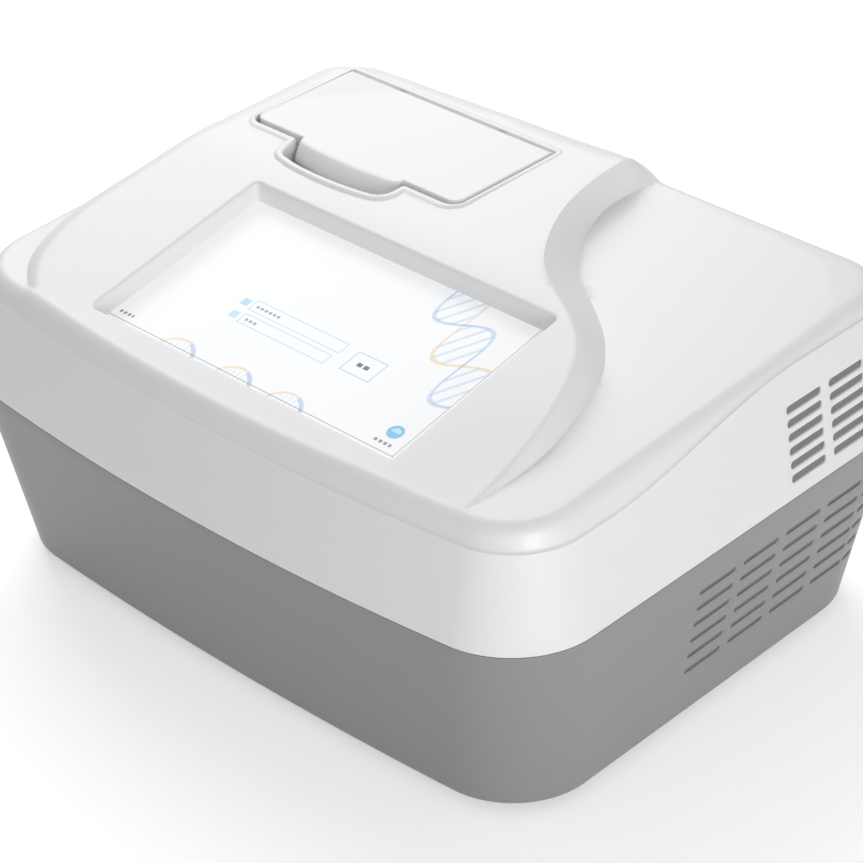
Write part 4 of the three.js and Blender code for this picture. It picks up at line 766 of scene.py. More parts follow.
def build_shell():
    skin = Skin()
    base = SEAM + GAP / 2
    skin.strip([around(shell_place, base + up, inset) for up, inset in SEAM_EDGE],
               [around(shell_place, base + up, WALL) for up, _ in SEAM_EDGE])
    slots = []
    for row in range(6):
        z = SEAM + UPPER_SLOT_LOW + row * UPPER_SLOT_PITCH
        for column in (2, 3, 4):
            y = VENT_Y + column * VENT_PITCH + VENT_LENGTH / 2
            slots += [side_opening(shell_place, side, y, z, UPPER_SLOT_HEIGHT, UPPER_SLOT_END)
                      for side in (1, -1)]
        if row < 5:
            slots += [rear_opening(shell_place, LID_X + k * VENT_PITCH, z, VENT_LENGTH, UPPER_SLOT_HEIGHT,
                                   UPPER_SLOT_END) for k in (-1, 0, 1)]
    wall_patch(skin, shell_place, base + 0.5, lip_height, 9, slots)

    # Shoulder, up to the edge of the top
    lip = lip_height(OUTLINE_T)
    x, y = shell_plan(OUTLINE_T, 20.4)
    for _ in range(3):
        x, y = shell_plan(OUTLINE_T, FLARE * (top_height(y) - SEAM) + SHOULDER[-1][1])
    crest, plain = skin_height(np.column_stack([x, y])), top_height(y)
    rows, backs = [], []
    for share, inset, lean in SHOULDER:
        z = lerp(lip, crest, share)
        reach = FLARE * (lerp(lip, plain, share) - SEAM) + inset
        lean = math.radians(lean)
        rows.append(np.column_stack([*shell_plan(OUTLINE_T, reach), z]))
        backs.append(np.column_stack([*shell_plan(OUTLINE_T, reach + WALL * math.cos(lean)),
                                      z - WALL * math.sin(lean)]))
    skin.strip(rows, backs)
    rim = rows[-1][:, :2]

    # Walls of the screen's recess and of the lid's pan with its finger pocket
    plane = island_height(SCREEN_Y) + (SCREEN_LOOP[:, 1] - SCREEN_Y) * math.tan(TILT)
    recess_wall(skin, SCREEN_LOOP, lambda top: [plane - depth / math.cos(TILT)
                                                for depth in (5.0, 9.0, SCREEN_DEPTH - 0.2)])
    pocket = (np.abs(PAN_LOOP[:, 0] - LID_X) < 44.5) & (PAN_LOOP[:, 1] < 35)
    floor = np.where(pocket, POCKET_FLOOR - 1, LEDGE_TOP - 0.6)
    recess_wall(skin, PAN_LOOP, lambda top: [lerp(top, floor, share) for share in (0.2, 0.6, 1.0)],
                PAN_LOOP[:, 1:] > 119)

    # Top, with rings along every soft edge
    rings = [resample(rounded(SCREEN, g), 5) for g in LIP_AT[1:]]
    rings += [resample(rounded(PAN, g), 3.5) for g in (*BEAD_AT[1:], 4.2, 4.9, 5.6)]
    lines = [RIM[:, :2] + RIM_NORMAL * RIM[:, 2:3] * share for share in SLOPE_LINES]
    fall_y = np.interp(FALL_X, *np.transpose(BACK_LINE))
    lines += [np.column_stack([FALL_X, fall_y + BACK_FALL * share]) for share in FALL_LINES]
    grid = plan_grid(-205, 206, -165, 166, TOP_PITCH)
    points, faces = triangulate(rim, [SCREEN_LOOP, PAN_LOOP], rings, lines, grid, 2.6)
    z = skin_height(points)
    skin.add(at_height(points, z), at_height(points, hill(points) - WALL), faces)
    return skin.solid()


def build_ledge():
    """The lid's ledge, the finger pocket's floor and the skirt round the block's opening."""
    pan = [(LID_X - 83.5, 31.5, 9), (LID_X + 83.5, 31.5, 9), (LID_X + 83.5, 122, 2), (LID_X - 83.5, 122, 2)]
    ledge = plate(pan, LEDGE_LOW, LEDGE_TOP)
    middle = (-24, -12, 0, 12, 24)
    outline = [(LID_X - 46, 39.5, 1), (LID_X - 38.5, 13.2, 9), *bowed(middle, 8.8),
               (LID_X + 44.5, 13.6, 9), (LID_X + 44.5, 39.5, 1)]
    bowl = plate(outline, POCKET_FLOOR - 2.5, LEDGE_TOP - 0.1)
    inner = [(LID_X - 44.7, 36, 0.5), (LID_X - 37.6, 14, 8.4), *bowed(middle, 9.6),
             (LID_X + 43.6, 14.4, 9.4), (LID_X + 43.6, 36, 0.5)]
    hollow = plate(inner, POCKET_FLOOR, LID_TOP + 5, 1.5)
    skirt = slab((LID_X - OPEN_HALF - 2.5, OPEN_FRONT - 3, BLOCK_TOP - 1),
                 (LID_X + OPEN_HALF + 2.5, OPEN_BACK + 2.5, LEDGE_TOP - 0.05), 3.5)
    mouth = slab((LID_X - OPEN_HALF, OPEN_FRONT, BLOCK_TOP - 9), (LID_X + OPEN_HALF, OPEN_BACK, LID_TOP), 1.5)
    steps = [("UNION", bowl), ("UNION", skirt), ("DIFFERENCE", hollow), ("DIFFERENCE", mouth)]
    for side in (-1, 1):
        x = LID_X + side * HINGE_SPREAD
        steps.append(("DIFFERENCE", slab((x - HINGE_HALF, HINGE_Y - 2.5, LEDGE_LOW - 8),
                                         (x + HINGE_HALF, HINGE_Y + 2.5, LID_TOP))))
        # Cut for the keeper of the lid's magnet
        far = LID_X + side * (LID_WIDTH / 2 - LID_WALL - GAP)
        close = far - side * KEEPER_LENGTH
        steps.append(("DIFFERENCE", slab((min(far, close) - GAP, KEEPER_FRONT - GAP, LEDGE_TOP - 2.3),
                                         (max(far, close) + GAP, KEEPER_BACK + GAP, LID_TOP))))
    return boolean(ledge, *steps)


FOOT_X, FOOT_FRONT, FOOT_BACK = 162.8912, -107.9772, 114.3352
FEET = [(f"{end}_{side}", sign * FOOT_X, y) for end, y in (("front", FOOT_FRONT), ("back", FOOT_BACK))
        for side, sign in (("left", -1), ("right", 1))]
# Heights and insets of the ring inside the seam that keeps the two halves in line
SEAM_RING = ((117.5, 2.2), (117.5, 4.8), (125.4, 4.8 + FLARE * 4), (125.4, 3.5 + FLARE * 4), (121.2, 3.3))


def build_tub():
    skin = Skin()
    low, high = FOOT_Z + BOTTOM_RADIUS, SEAM - GAP / 2 - 0.5
    slots = []
    for row in range(6):
        z = SEAM - LOWER_SLOT_DROP - row * LOWER_SLOT_PITCH
        for column in range(5):
            y = VENT_Y + column * VENT_PITCH + VENT_LENGTH / 2
            slots += [side_opening(tub_place, side, y, z, LOWER_SLOT_HEIGHT) for side in (1, -1)]
    half = IO_HEIGHT / 2 * math.cos(IO_TILT)
    slots.append(rear_opening(tub_place, IO_X, IO_Z, IO_WIDTH + 0.8, 2 * half + 0.8, 1.0))
    wall_patch(skin, tub_place, low, lambda t: np.full(np.shape(t), high), 15, slots)
    skin.strip([around(tub_place, high + up, inset) for up, inset in ((0, 0), (0.38, 0.12), (0.5, 0.45))],
               [around(tub_place, high + up, WALL) for up in (0, 0.38, 0.5)])

    # Rounded lower edge, and the underside with the feet's sockets and its slots
    outer, inner = [], []
    for a in np.linspace(0, math.pi / 2, 7)[::-1]:
        z, inset = FOOT_Z + BOTTOM_RADIUS * (1 - math.sin(a)), BOTTOM_RADIUS * (1 - math.cos(a))
        outer.append(at_height(around(tub_place, low, inset)[:, :2], z))
        back = around(tub_place, low, inset + WALL * math.cos(a))[:, :2]
        inner.append(at_height(back, z + WALL * math.sin(a)))
    skin.strip(outer, inner)
    sockets = [rounded(box_corners(x - 5.3, y - 5.3, x + 5.3, y + 5.3, 5.299))[::-1] for _, x, y in FEET]
    ribs = [stadium(x, -40 + k * 20, 44, 3.2) for k in range(5) for x in (-70, 0, 70)]
    grid = plan_grid(-200, 201, -150, 151, UNDERSIDE_PITCH)
    points, faces = triangulate(outer[0][:, :2], sockets + ribs, [], [], grid, 5)
    skin.add(at_height(points, FOOT_Z), at_height(points, FOOT_Z + WALL), faces[:, ::-1])
    ring = [around(tub_place, z, inset) if z < SEAM
            else at_height(np.column_stack(shell_plan(OUTLINE_T, inset)), z) for z, inset in SEAM_RING]
    return join(skin.solid(), loft(ring + [ring[0]], close_ends=False))


class Num:
    """A node socket that takes part in sums, so that a pattern reads as a formula."""

    def __init__(self, tree, socket):
        self.tree, self.socket = tree, socket

    def op(self, kind, *others, swap=False):
        node = self.tree.nodes.new("ShaderNodeMath")
        node.operation = kind
        for k, v in enumerate([*others, self] if swap else [self, *others]):
            if isinstance(v, Num):
                self.tree.links.new(v.socket, node.inputs[k])
            else:
                node.inputs[k].default_value = v
        return Num(self.tree, node.outputs[0])

    def within(self, low, high):
        return self.above(low) * self.below(high)

    def ramp(self, low, high):
        """0 at low, 1 at high, smooth between."""
        node = self.tree.nodes.new("ShaderNodeMapRange")
        node.interpolation_type = "SMOOTHSTEP"
        self.tree.links.new(self.socket, node.inputs["Value"])
        node.inputs["From Min"].default_value, node.inputs["From Max"].default_value = low, high
        return Num(self.tree, node.outputs["Result"])


def math_method(kind, swap=False):
    return lambda self, *others: self.op(kind, *others, swap=swap)


for name, kind in (("__add__", "ADD"), ("__sub__", "SUBTRACT"), ("__mul__", "MULTIPLY"), ("abs", "ABSOLUTE"),
                   ("sin", "SINE"), ("root", "SQRT"), ("above", "GREATER_THAN"), ("below", "LESS_THAN"),
                   ("most", "MAXIMUM"), ("wrap", "FLOORED_MODULO")):
    setattr(Num, name, math_method(kind))
Num.__rsub__ = math_method("SUBTRACT", swap=True)


def mix(tree, factor, a, b):
    """One colour over another, by a factor."""
    node = tree.nodes.new("ShaderNodeMix")
    node.data_type = "RGBA"
    for value, socket in ((factor, node.inputs[0]), (a, node.inputs[6]), (b, node.inputs[7])):
        if isinstance(value, Num):
            tree.links.new(value.socket, socket)
        elif isinstance(value, bpy.types.NodeSocket):
            tree.links.new(value, socket)
        else:
            socket.default_value = value if isinstance(value, (int, float)) else (*value, 1)[:4]
    return node.outputs[2]


def noise(tree, vector, scale, detail, rough):
    node = tree.nodes.new("ShaderNodeTexNoise")
    for label, value in (("Scale", scale), ("Detail", detail), ("Roughness", rough)):
        node.inputs[label].default_value = value
    tree.links.new(vector, node.inputs["Vector"])
    return Num(tree, node.outputs["Fac"])


def scaled(tree, vector, factor):
    node = tree.nodes.new("ShaderNodeVectorMath")
    node.operation = "SCALE"
    tree.links.new(vector, node.inputs[0])
    tree.links.new(factor.socket, node.inputs["Scale"])
    return node.outputs[0]


def grain_group(name, stretch):
    """Shared surface effect: tone, gloss and height of a moulded or a brushed skin."""
    tree = bpy.data.node_groups.new(name, "ShaderNodeTree")
    for way, sockets in (("INPUT", (("Color", "Color"), ("Tone", "Float"), ("Gloss", "Float"),
                                    ("Gloss spread", "Float"), ("Fineness", "Float"), ("Height", "Float"))),
                         ("OUTPUT", (("Color", "Color"), ("Roughness", "Float"), ("Normal", "Vector")))):
        for label, kind in sockets:
            tree.interface.new_socket(name=label, in_out=way, socket_type="NodeSocket" + kind)
    given, result = tree.nodes.new("NodeGroupInput"), tree.nodes.new("NodeGroupOutput")
    place = tree.nodes.new("ShaderNodeTexCoord").outputs["Object"]
    turn = tree.nodes.new("ShaderNodeMapping")
    turn.inputs["Scale"].default_value = stretch
    tree.links.new(place, turn.inputs["Vector"])
    value = {s.name: Num(tree, s) for s in given.outputs if s.name}
    cloud = noise(tree, place, 9.0, 3.0, 0.5)
    fine = noise(tree, scaled(tree, turn.outputs[0], value["Fineness"]), 1.0, 3.0, 0.6)
    tone = (cloud - 0.5) * value["Tone"] * 1.4 + (fine - 0.5) * value["Tone"] + 1.0
    rough = value["Gloss"] + ((cloud - 0.5) * 0.8 + (fine - 0.5)) * value["Gloss spread"]
    bump = tree.nodes.new("ShaderNodeBump")
    bump.inputs["Strength"].default_value = 1.0
    tree.links.new(value["Height"].socket, bump.inputs["Distance"])
    tree.links.new(fine.socket, bump.inputs["Height"])
    for label, socket in (("Color", scaled(tree, given.outputs["Color"], tone)), ("Roughness", rough.socket),
                          ("Normal", bump.outputs[0])):
        tree.links.new(socket, result.inputs[label])
    return tree


MOULDED = grain_group("moulded_skin", (1, 1, 1))
BRUSHED = grain_group("brushed_skin", (0.06, 1, 1))


def new_material(name):
    material = bpy.data.materials.new(name)
    material.use_nodes = True
    return material, material.node_tree, material.node_tree.nodes["Principled BSDF"]


def skin_effect(tree, effect, **values):
    node = tree.nodes.new("ShaderNodeGroup")
    node.node_tree = effect
    for label, value in values.items():
        node.inputs[label.replace("_", " ")].default_value = value
    return node


def surface(name, colour, gloss, tone, spread, fineness, height, metal=0.0, coat=0.0):
    """A material whose colour, gloss and relief come from a shared skin effect."""
    material, tree, shader = new_material(name)
    skin = skin_effect(tree, BRUSHED if metal else MOULDED, Color=(*colour, 1), Tone=tone, Gloss=gloss,
                       Gloss_spread=spread, Fineness=fineness, Height=height)
    for label, socket in (("Color", "Base Color"), ("Roughness", "Roughness"), ("Normal", "Normal")):
        tree.links.new(skin.outputs[label], shader.inputs[socket])
    shader.inputs["Metallic"].default_value = metal
    shader.inputs["Coat Weight"].default_value = coat
    return material


# Name, colour, gloss, unevenness of tone and of gloss, fineness and height of the grain, metal and coat
LOOKS = {row[0]: surface(*row) for row in (
    ("shell_white", (0.79, 0.79, 0.79), 0.42, 0.012, 0.05, 2600, 0.000012, 0, 0.12),
    ("tub_grey", (0.262, 0.266, 0.262), 0.42, 0.04, 0.07, 1900, 0.00003),
    ("rubber_black", (0.022, 0.022, 0.023), 0.75, 0.15, 0.1, 2500, 0.00005),
    ("plastic_dark", (0.045, 0.047, 0.05), 0.45, 0.1, 0.1, 2000, 0.00003),
    ("sheet_steel", (0.56, 0.57, 0.58), 0.32, 0.05, 0.12, 2200, 0.000012, 1),
    ("aluminium_plain", (0.77, 0.78, 0.79), 0.3, 0.05, 0.1, 2600, 0.00001, 1),
    ("screen_white", (0.72, 0.75, 0.78), 0.25, 0.02, 0.08, 1500, 0.00003),
    ("ceramic_white", (0.82, 0.81, 0.78), 0.6, 0.05, 0.1, 1400, 0.00003),
    ("board_green", (0.03, 0.16, 0.07), 0.35, 0.2, 0.1, 900, 0.00003, 0, 0.3),
    ("silicone_orange", (0.62, 0.17, 0.035), 0.6, 0.08, 0.1, 1200, 0.00005),
    ("fibre_black", (0.03, 0.03, 0.032), 0.5, 0.12, 0.1, 1800, 0.00004),
)}
FILTER_TINTS = [(0.25, 0.45, 0.85), (0.3, 0.75, 0.4), (0.85, 0.65, 0.2), (0.8, 0.25, 0.2)]
FILTERS = [surface(f"filter_glass_{k}", tint, 0.08, 0.05, 0.02, 500, 0.000005, 0, 0.6)
           for k, tint in enumerate(FILTER_TINTS, 1)]
# Light of the screen, and how much darker its colours are as a surface
SCREEN_GLOW, SCREEN_DIM = 0.62, 0.62


def screen_material():
    """A lit screen behind glass, with a plain set of fields, a button and two twisted ribbons."""
    material, tree, shader = new_material("screen_glass")
    place = tree.nodes.new("ShaderNodeTexCoord").outputs["Object"]
    turn = tree.nodes.new("ShaderNodeMapping")
    turn.vector_type = "TEXTURE"
    low_edge = (SCREEN_X, SCREEN_Y, float(island_height(SCREEN_Y)))
    turn.inputs["Location"].default_value = [n * MM for n in low_edge]
    turn.inputs["Rotation"].default_value = (TILT, 0, 0)
    turn.inputs["Scale"].default_value = (MM, MM, MM)
    tree.links.new(place, turn.inputs["Vector"])
    split = tree.nodes.new("ShaderNodeSeparateXYZ")
    tree.links.new(turn.outputs[0], split.inputs[0])
    # Millimetres across the screen from its middle, and up from its lower edge
    u, v = Num(tree, split.outputs[0]), Num(tree, split.outputs[1])

    def frame_of(x0, y0, x1, y1, line):
        """Outline of a box."""
        cx, cy, hx, hy = (x0 + x1) / 2, (y0 + y1) / 2, (x1 - x0) / 2, (y1 - y0) / 2
        far = ((u - cx).abs() - hx).most((v - cy).abs() - hy)
        return far.abs().below(line)

    def filled(x0, y0, x1, y1):
        return u.within(x0, x1) * v.within(y0, y1)

    def dashes(x0, x1, y0, height, pitch, share):
        """A row of small plain bars."""
        return filled(x0, y0, x1, y0 + height) * (u - x0).wrap(pitch).below(pitch * share)

    def away(x, y):
        """Distance from a place."""
        return ((u - x) * (u - x) + (v - y) * (v - y)).root()

    def ribbons(across, length, reach, turns, low, high, width, phase):
        """Two strands that twist round a line, and the rungs between them."""
        angle = length * (TAU / turns) + phase
        swing = angle.sin()
        first, second = (across - swing * reach).abs(), (across + swing * reach).abs()
        on = length.within(low, high)
        slant = 1.0 - swing.abs() * 0.35
        rung = length.wrap(turns / 9).below(turns / 34) * (across.abs() - swing.abs() * reach).below(0)
        return first.below(width * 0.5) * slant * on, second.below(width * 0.5) * on, rung * on

    colour = mix(tree, v.ramp(-10, 150) * 0.05, (0.97, 0.98, 0.99), (0.9, 0.95, 1.0))

    def draw(mask, tint, strength):
        nonlocal colour
        colour = mix(tree, mask * strength, colour, tint)

    pale, blue, tan, ink = (0.42, 0.68, 0.88), (0.36, 0.54, 0.82), (0.86, 0.66, 0.42), (0.05, 0.055, 0.07)
    across, down = u - 45.6, 130.2 - v
    side, length = across * 0.763 - down * 0.646, across * 0.646 + down * 0.763
    one, two, rung = ribbons(side, length + side * 0.38, 16.5, 68.0, -20.0, 112.0, 2.7, -2.6)
    shown = u.below(102.2) * v.above(10.4)
    draw(rung * shown, (0.5, 0.66, 0.88), 0.5)
    draw(two * shown, (0.88, 0.7, 0.46), 0.7)
    draw(one * shown, (0.3, 0.52, 0.85), 0.7)
    for centre in (-58.5, -14.5, 24.5):
        far = away(centre, 4.0)
        draw(far.within(12.2, 14.0) * u.below(centre + 4), tan, 0.6)
        draw(far.within(11.4, 14.0) * u.above(centre + 4), blue, 0.65)
        draw(far.below(11.4) * (u - centre).wrap(3.4).below(0.8), (0.6, 0.72, 0.88), 0.5)
    for box, line, strength in (((-49, 55.0, 21, 63.3), 0.3, 0.8), ((-47, 44.0, 19, 51.5), 0.3, 0.8),
                                ((30, 46, 51, 62), 0.35, 0.9)):
        draw(frame_of(*box, line), pale, strength)
    draw(filled(-57, 56.0, -51.5, 61.5), (0.35, 0.68, 0.92), 0.7)
    draw(filled(-55.2, 45.0, -50, 50.2), (0.45, 0.72, 0.9), 0.7)
    for row, strength in (((-46, -27, 58.0, 2.0, 3.2, 0.62), 0.6), ((-44, -35, 46.8, 2.0, 3.2, 0.62), 0.6),
                          ((36.0, 45.0, 52.4, 3.0, 4.8, 0.72), 0.85)):
        draw(dashes(*row), ink, strength)
    far = away(91.0, 25.0)
    draw(far.below(5.0), (0.1, 0.5, 0.85), 0.8)
    draw(far.below(3.0) * (v - 25.0).above(-0.4), (0.62, 0.85, 0.97), 0.9)
    for row in ((84.5, 96.5, 14.4, 2.2, 3.4, 0.6), (-111, -100, 14.2, 2.2, 3.2, 0.6)):
        draw(dashes(*row), ink, 0.7)
    # Painted shadow: a dark line along the lower and right edges of the screen's open part, where the
    # recess's wall shades it
    painted_shadow_line = v.within(9.7, 10.4) * u.below(102.8) + u.within(102.2, 102.8) * v.above(9.7)
    draw(painted_shadow_line, (0.2, 0.2, 0.22), 0.6)
    tree.links.new(mix(tree, SCREEN_DIM, colour, (0, 0, 0)), shader.inputs["Base Color"])
    tree.links.new(colour, shader.inputs["Emission Color"])
    skin = skin_effect(tree, MOULDED, Tone=0.0, Gloss=0.3, Gloss_spread=0.03, Fineness=300.0, Height=0.000002)
    tree.links.new(skin.outputs["Roughness"], shader.inputs["Roughness"])
    shader.inputs["Emission Strength"].default_value = SCREEN_GLOW
    shader.inputs["Specular IOR Level"].default_value = 0.12
    return material


# Looks of the CAD pieces, by the slot that each one's material is named after
LOOKS["filter_glass"] = FILTERS[0]
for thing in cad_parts.values():
    given = thing.data.materials[0].name
    thing.data.materials.clear()
    thing.data.materials.append(next(look for slot, look in LOOKS.items() if slot in given))
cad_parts["touch_glass"].data.materials[0] = screen_material()
for k, look in enumerate(FILTERS, 1):
    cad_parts[f"filter_{k}"].data.materials[0] = look

# Case and feet
piece("shell", join(build_shell(), build_ledge()), "case", "shell_white", 30, "upper_shell")
piece("tub", build_tub(), "case", "tub_grey", 30, "base_tub")
FOOT_PROFILE = [(0, 0.4), (6.2, 0.4), (6.8, 0), (9.2, 0), (9.85, 0.3), (10.1, 1.0), (10.6, 2.6),
                (10.35, 3.0), (10.7, 3.4), (11.6, 5.0), (11.7, 5.4), (11.4, 5.7), (5.0, 5.7), (5.0, 7.3),
                (4.8, 7.5), (0, 7.5)]
for name, x, y in FEET:
    piece(f"foot_{name}_pad", turned(FOOT_PROFILE, 40, (x, y)), "case", "rubber_black", 40, f"foot_{name}")

# Finger grip of the lid, from its root forward and down: shares of its reach and drop
GRIP_OUTER = [(0.0, 0.0018), (0.28, 0.0014), (0.42, 0.006), (0.5, 0.022), (0.56, 0.055), (0.61, 0.105),
              (0.67, 0.19), (0.75, 0.33), (0.83, 0.48), (0.91, 0.64), (0.97, 0.78), (0.995, 0.89),
              (0.985, 0.97), (0.95, 1.0)]
GRIP_INNER = [(1.0, 0.985), (0.985, 0.86), (0.95, 0.72), (0.9, 0.59), (0.8, 0.47), (0.66, 0.38), (0.5, 0.33),
              (0.3, 0.29)]
GRIP_HALF, GRIP_REACH, GRIP_BOW, GRIP_DROP, GRIP_THICK = 40, 11, 4, 10.7, 2.6
# Share of the grip's half width where its ends begin, and how far they pull in and rise
GRIP_END, GRIP_END_WIDTH, GRIP_END_PULL, GRIP_END_RISE = 0.86, 0.14, 6.5, 0.16
# Radii of the lid's upper and lower edges
LID_EDGE, LID_LOWER_EDGE = 1.2, 0.5


def build_lid():
    rings = []
    x0, x1 = LID_X - LID_WIDTH / 2, LID_X + LID_WIDTH / 2
    for angle in np.radians([-90, -82, -70, -50, -25, 0, 20, 34, 46, 56, 66, 75, 83, 90]):
        z = HINGE_Z + BARREL * math.sin(angle)
        back = HINGE_Y + BARREL * math.cos(angle)
        up = max(0.0, z - (LID_TOP - LID_EDGE))
        down = max(0.0, LID_TOP - LID_THICK + LID_LOWER_EDGE - z)
        e = LID_EDGE - math.sqrt(max(0, LID_EDGE ** 2 - up ** 2))
        e = e + LID_LOWER_EDGE - math.sqrt(max(0, LID_LOWER_EDGE ** 2 - down ** 2))
        front, corner = LID_FRONT + e, LID_CORNER - e
        corners = [(x0 + e, front, corner), (x1 - e, front, corner), (x1 - e, back, 0.6), (x0 + e, back, 0.6)]
        rings.append(at_height(rounded(corners, 0, 10), z))
    front, back = LID_FRONT + LID_WALL, HINGE_Y - BARREL - LID_WALL
    hollow = [(x0 + LID_WALL, front, 4.8), (x1 - LID_WALL, front, 4.8),
              (x1 - LID_WALL, back, 0.8), (x0 + LID_WALL, back, 0.8)]
    stations = []
    root = LID_FRONT + LID_CORNER / 2
    for s in np.sin(np.linspace(-math.pi / 2, math.pi / 2, 41)):
        e = np.clip((abs(s) - GRIP_END) / GRIP_END_WIDTH, 0, 1)
        ending = 1 - math.sqrt(max(0.0, 1 - e * e))
        reach = root - LID_FRONT + GRIP_REACH + GRIP_BOW * (1 - s * s) - GRIP_END_PULL * ending
        drop = GRIP_DROP * (1 - GRIP_END_RISE * ending)
        flat = [(root - r * reach, LID_TOP - f * drop) for r, f in GRIP_OUTER]
        flat += [(root - r * (reach - GRIP_THICK), LID_TOP - f * drop) for r, f in GRIP_INNER]
        flat.append((root, LID_TOP - LID_WALL))
        stations.append(np.array([(LID_X + s * GRIP_HALF, y, z) for y, z in flat]))
    steps = [("DIFFERENCE", plate(hollow, LID_TOP - 15, LID_TOP - LID_WALL)), ("UNION", loft(stations))]
    for side in (-1, 1):
        x = LID_X + side * HINGE_SPREAD
        steps.append(("DIFFERENCE", slab((x - HINGE_HALF, HINGE_Y - 3.8, HINGE_Z - 11),
                                         (x + HINGE_HALF, HINGE_Y + 11, HINGE_Z + 2.9))))
    points, faces = turned([(1.4, -90), (1.4, 90)], 20)
    across = np.array(Matrix.Rotation(math.pi / 2, 3, "Y"))
    steps.append(("DIFFERENCE", (points @ across.T + [LID_X, HINGE_Y, HINGE_Z], faces)))
    return boolean(loft(rings), *steps)


piece("lid_shell", build_lid(), "lid", "shell_white", 32, "lid_cover")


# Springs that press the heated plate down, built at the length of the CAD springs; nothing here squeezes them
# as the plate rises
SPRING_WIRE, SPRING_TURNS, SPRING_STEPS, SPRING_KEPT = 0.45, 4, 112, 0.559


def build_spring(low, high):
    form = Form()
    form.circle(SPRING_WIRE, 10).put(((high.x - low.x) / 2 - SPRING_WIRE, 0, 0), "X", math.pi / 2)
    rise = (high.z - low.z - 2 * SPRING_WIRE) / SPRING_STEPS
    bmesh.ops.spin(form.bm, geom=form.made() + form.made_edges(), cent=(0, 0, 0), axis=(0, 0, 1),
                   dvec=(0, 0, rise), angle=TAU * SPRING_TURNS, steps=SPRING_STEPS, use_merge=False)
    bmesh.ops.holes_fill(form.bm, edges=[e for e in form.bm.edges if e.is_boundary], sides=0)
    middle = (low + high) / 2
    return form.put((middle.x, middle.y, low.z + SPRING_WIRE), everything=True)


for side in ("front_left", "front_right", "back_left", "back_right"):
    low, high = (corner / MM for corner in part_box(f"lid_spring_{side}"))
    spring = piece(f"plate_spring_{side}", build_spring(low, high), "lid", "sheet_steel", 50,
                   f"lid_spring_{side}")
    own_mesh(spring)


# Block of 96 wells
WELL_PITCH, WELLS_X, WELLS_Y, WELL_SIDES = 9.0, 12, 8, 24
WELL_TOP, WELL_LOW, WELL_DEPTH, WELL_CHAMFER = 3.1, 1.4, 14.0, 0.35


def build_block():
    low = BLOCK_TOP - 20
    form = Form()
    form.circle(WELL_TOP + WELL_CHAMFER, WELL_SIDES, BLOCK_TOP)
    rim = form.loop

    def to_square(p):
        grow = WELL_PITCH / 2 / max(abs(p.x), abs(p.y))
        return Vector((p.x * grow, p.y * grow, p.z))

    def narrowed(radius, drop):
        def rule(p):
            length = math.hypot(p.x, p.y)
            return Vector((p.x / length * radius, p.y / length * radius, BLOCK_TOP - drop))
        return rule

    form.pull(to_square)
    form.loop = rim
    form.pull(narrowed(WELL_TOP, WELL_CHAMFER)).pull(narrowed(WELL_LOW + 0.35, WELL_DEPTH - 0.8))
    form.pull(narrowed(WELL_LOW, WELL_DEPTH)).cap()
    cell = form.bm.verts[:] + form.bm.edges[:] + form.bm.faces[:]
    corner = Vector((-(WELLS_X - 1) / 2 * WELL_PITCH, -(WELLS_Y - 1) / 2 * WELL_PITCH, 0))
    for k in range(1, WELLS_X * WELLS_Y):
        copy = bmesh.ops.duplicate(form.bm, geom=cell)["geom"]
        offset = Vector((k % WELLS_X * WELL_PITCH, k // WELLS_X * WELL_PITCH, 0))
        verts = [v for v in copy if isinstance(v, bmesh.types.BMVert)]
        bmesh.ops.translate(form.bm, verts=verts, vec=offset)
    bmesh.ops.translate(form.bm, verts=form.bm.verts[:], vec=corner)
    for v in form.bm.verts:
        v.co.x = max(-BLOCK_HALF_X, min(BLOCK_HALF_X, v.co.x))
        v.co.y = max(-BLOCK_HALF_Y, min(BLOCK_HALF_Y, v.co.y))
    bmesh.ops.remove_doubles(form.bm, verts=form.bm.verts[:], dist=1e-3)
    form.loop = [e for e in form.bm.edges if e.is_boundary]
    form.pull(lambda p: Vector((p.x, p.y, low))).cap()
    return form.put((LID_X, BLOCK_Y, 0), everything=True)


piece("well_block_detail", build_block(), "case", "aluminium_plain", 35, "well_block")


# Cooling fans
FAN_HALF, FAN_DEPTH, FAN_BORE, FAN_FLANGE, FAN_HUB, FAN_TIP = 30.0, 25.0, 28.0, 3.5, 12.0, 26.0
FAN_Y, FAN_Z, FAN_SPREAD, FAN_BLADES, FAN_SPOKE, FAN_WAIST = 121.3, 139.20688, 30.5, 7, 3.0, 29.4


def build_fan_frame():
    def ring(radius, z, squareness=0.0):
        """Corners at a radius, or on a square with rounded corners."""
        def rule(p):
            length = math.hypot(p.x, p.y)
            x, y = p.x / length, p.y / length
            reach = radius
            if squareness:
                reach = radius / (abs(x) ** squareness + abs(y) ** squareness) ** (1 / squareness)
            return Vector((x * reach, y * reach, z))
        return rule

    form = Form().circle(FAN_BORE + 0.5, 72)
    for place in ((FAN_HALF, 0, 9), (FAN_HALF, FAN_FLANGE, 9), (FAN_WAIST, FAN_FLANGE),
                  (FAN_WAIST, FAN_DEPTH - FAN_FLANGE), (FAN_HALF, FAN_DEPTH - FAN_FLANGE, 9),
                  (FAN_HALF, FAN_DEPTH, 9), (FAN_BORE + 0.5, FAN_DEPTH), (FAN_BORE, FAN_DEPTH - 1.2),
                  (FAN_BORE, 1.2), (FAN_BORE + 0.5, 0)):
        form.pull(ring(*place))
    low = FAN_DEPTH - FAN_SPOKE
    form.spin([(0, low), (FAN_HUB - 0.6, low), (FAN_HUB, low + 0.6), (FAN_HUB, FAN_DEPTH - 0.4),
               (FAN_HUB - 0.4, FAN_DEPTH), (0, FAN_DEPTH)], 40)
    for k in range(4):
        form.box((FAN_HUB - 1, -1.7, low + 0.2), (FAN_BORE + 0.8, 1.7, FAN_DEPTH - 0.2), 0.4)
        form.put(angle=k * math.pi / 2 + 0.3)
    return form


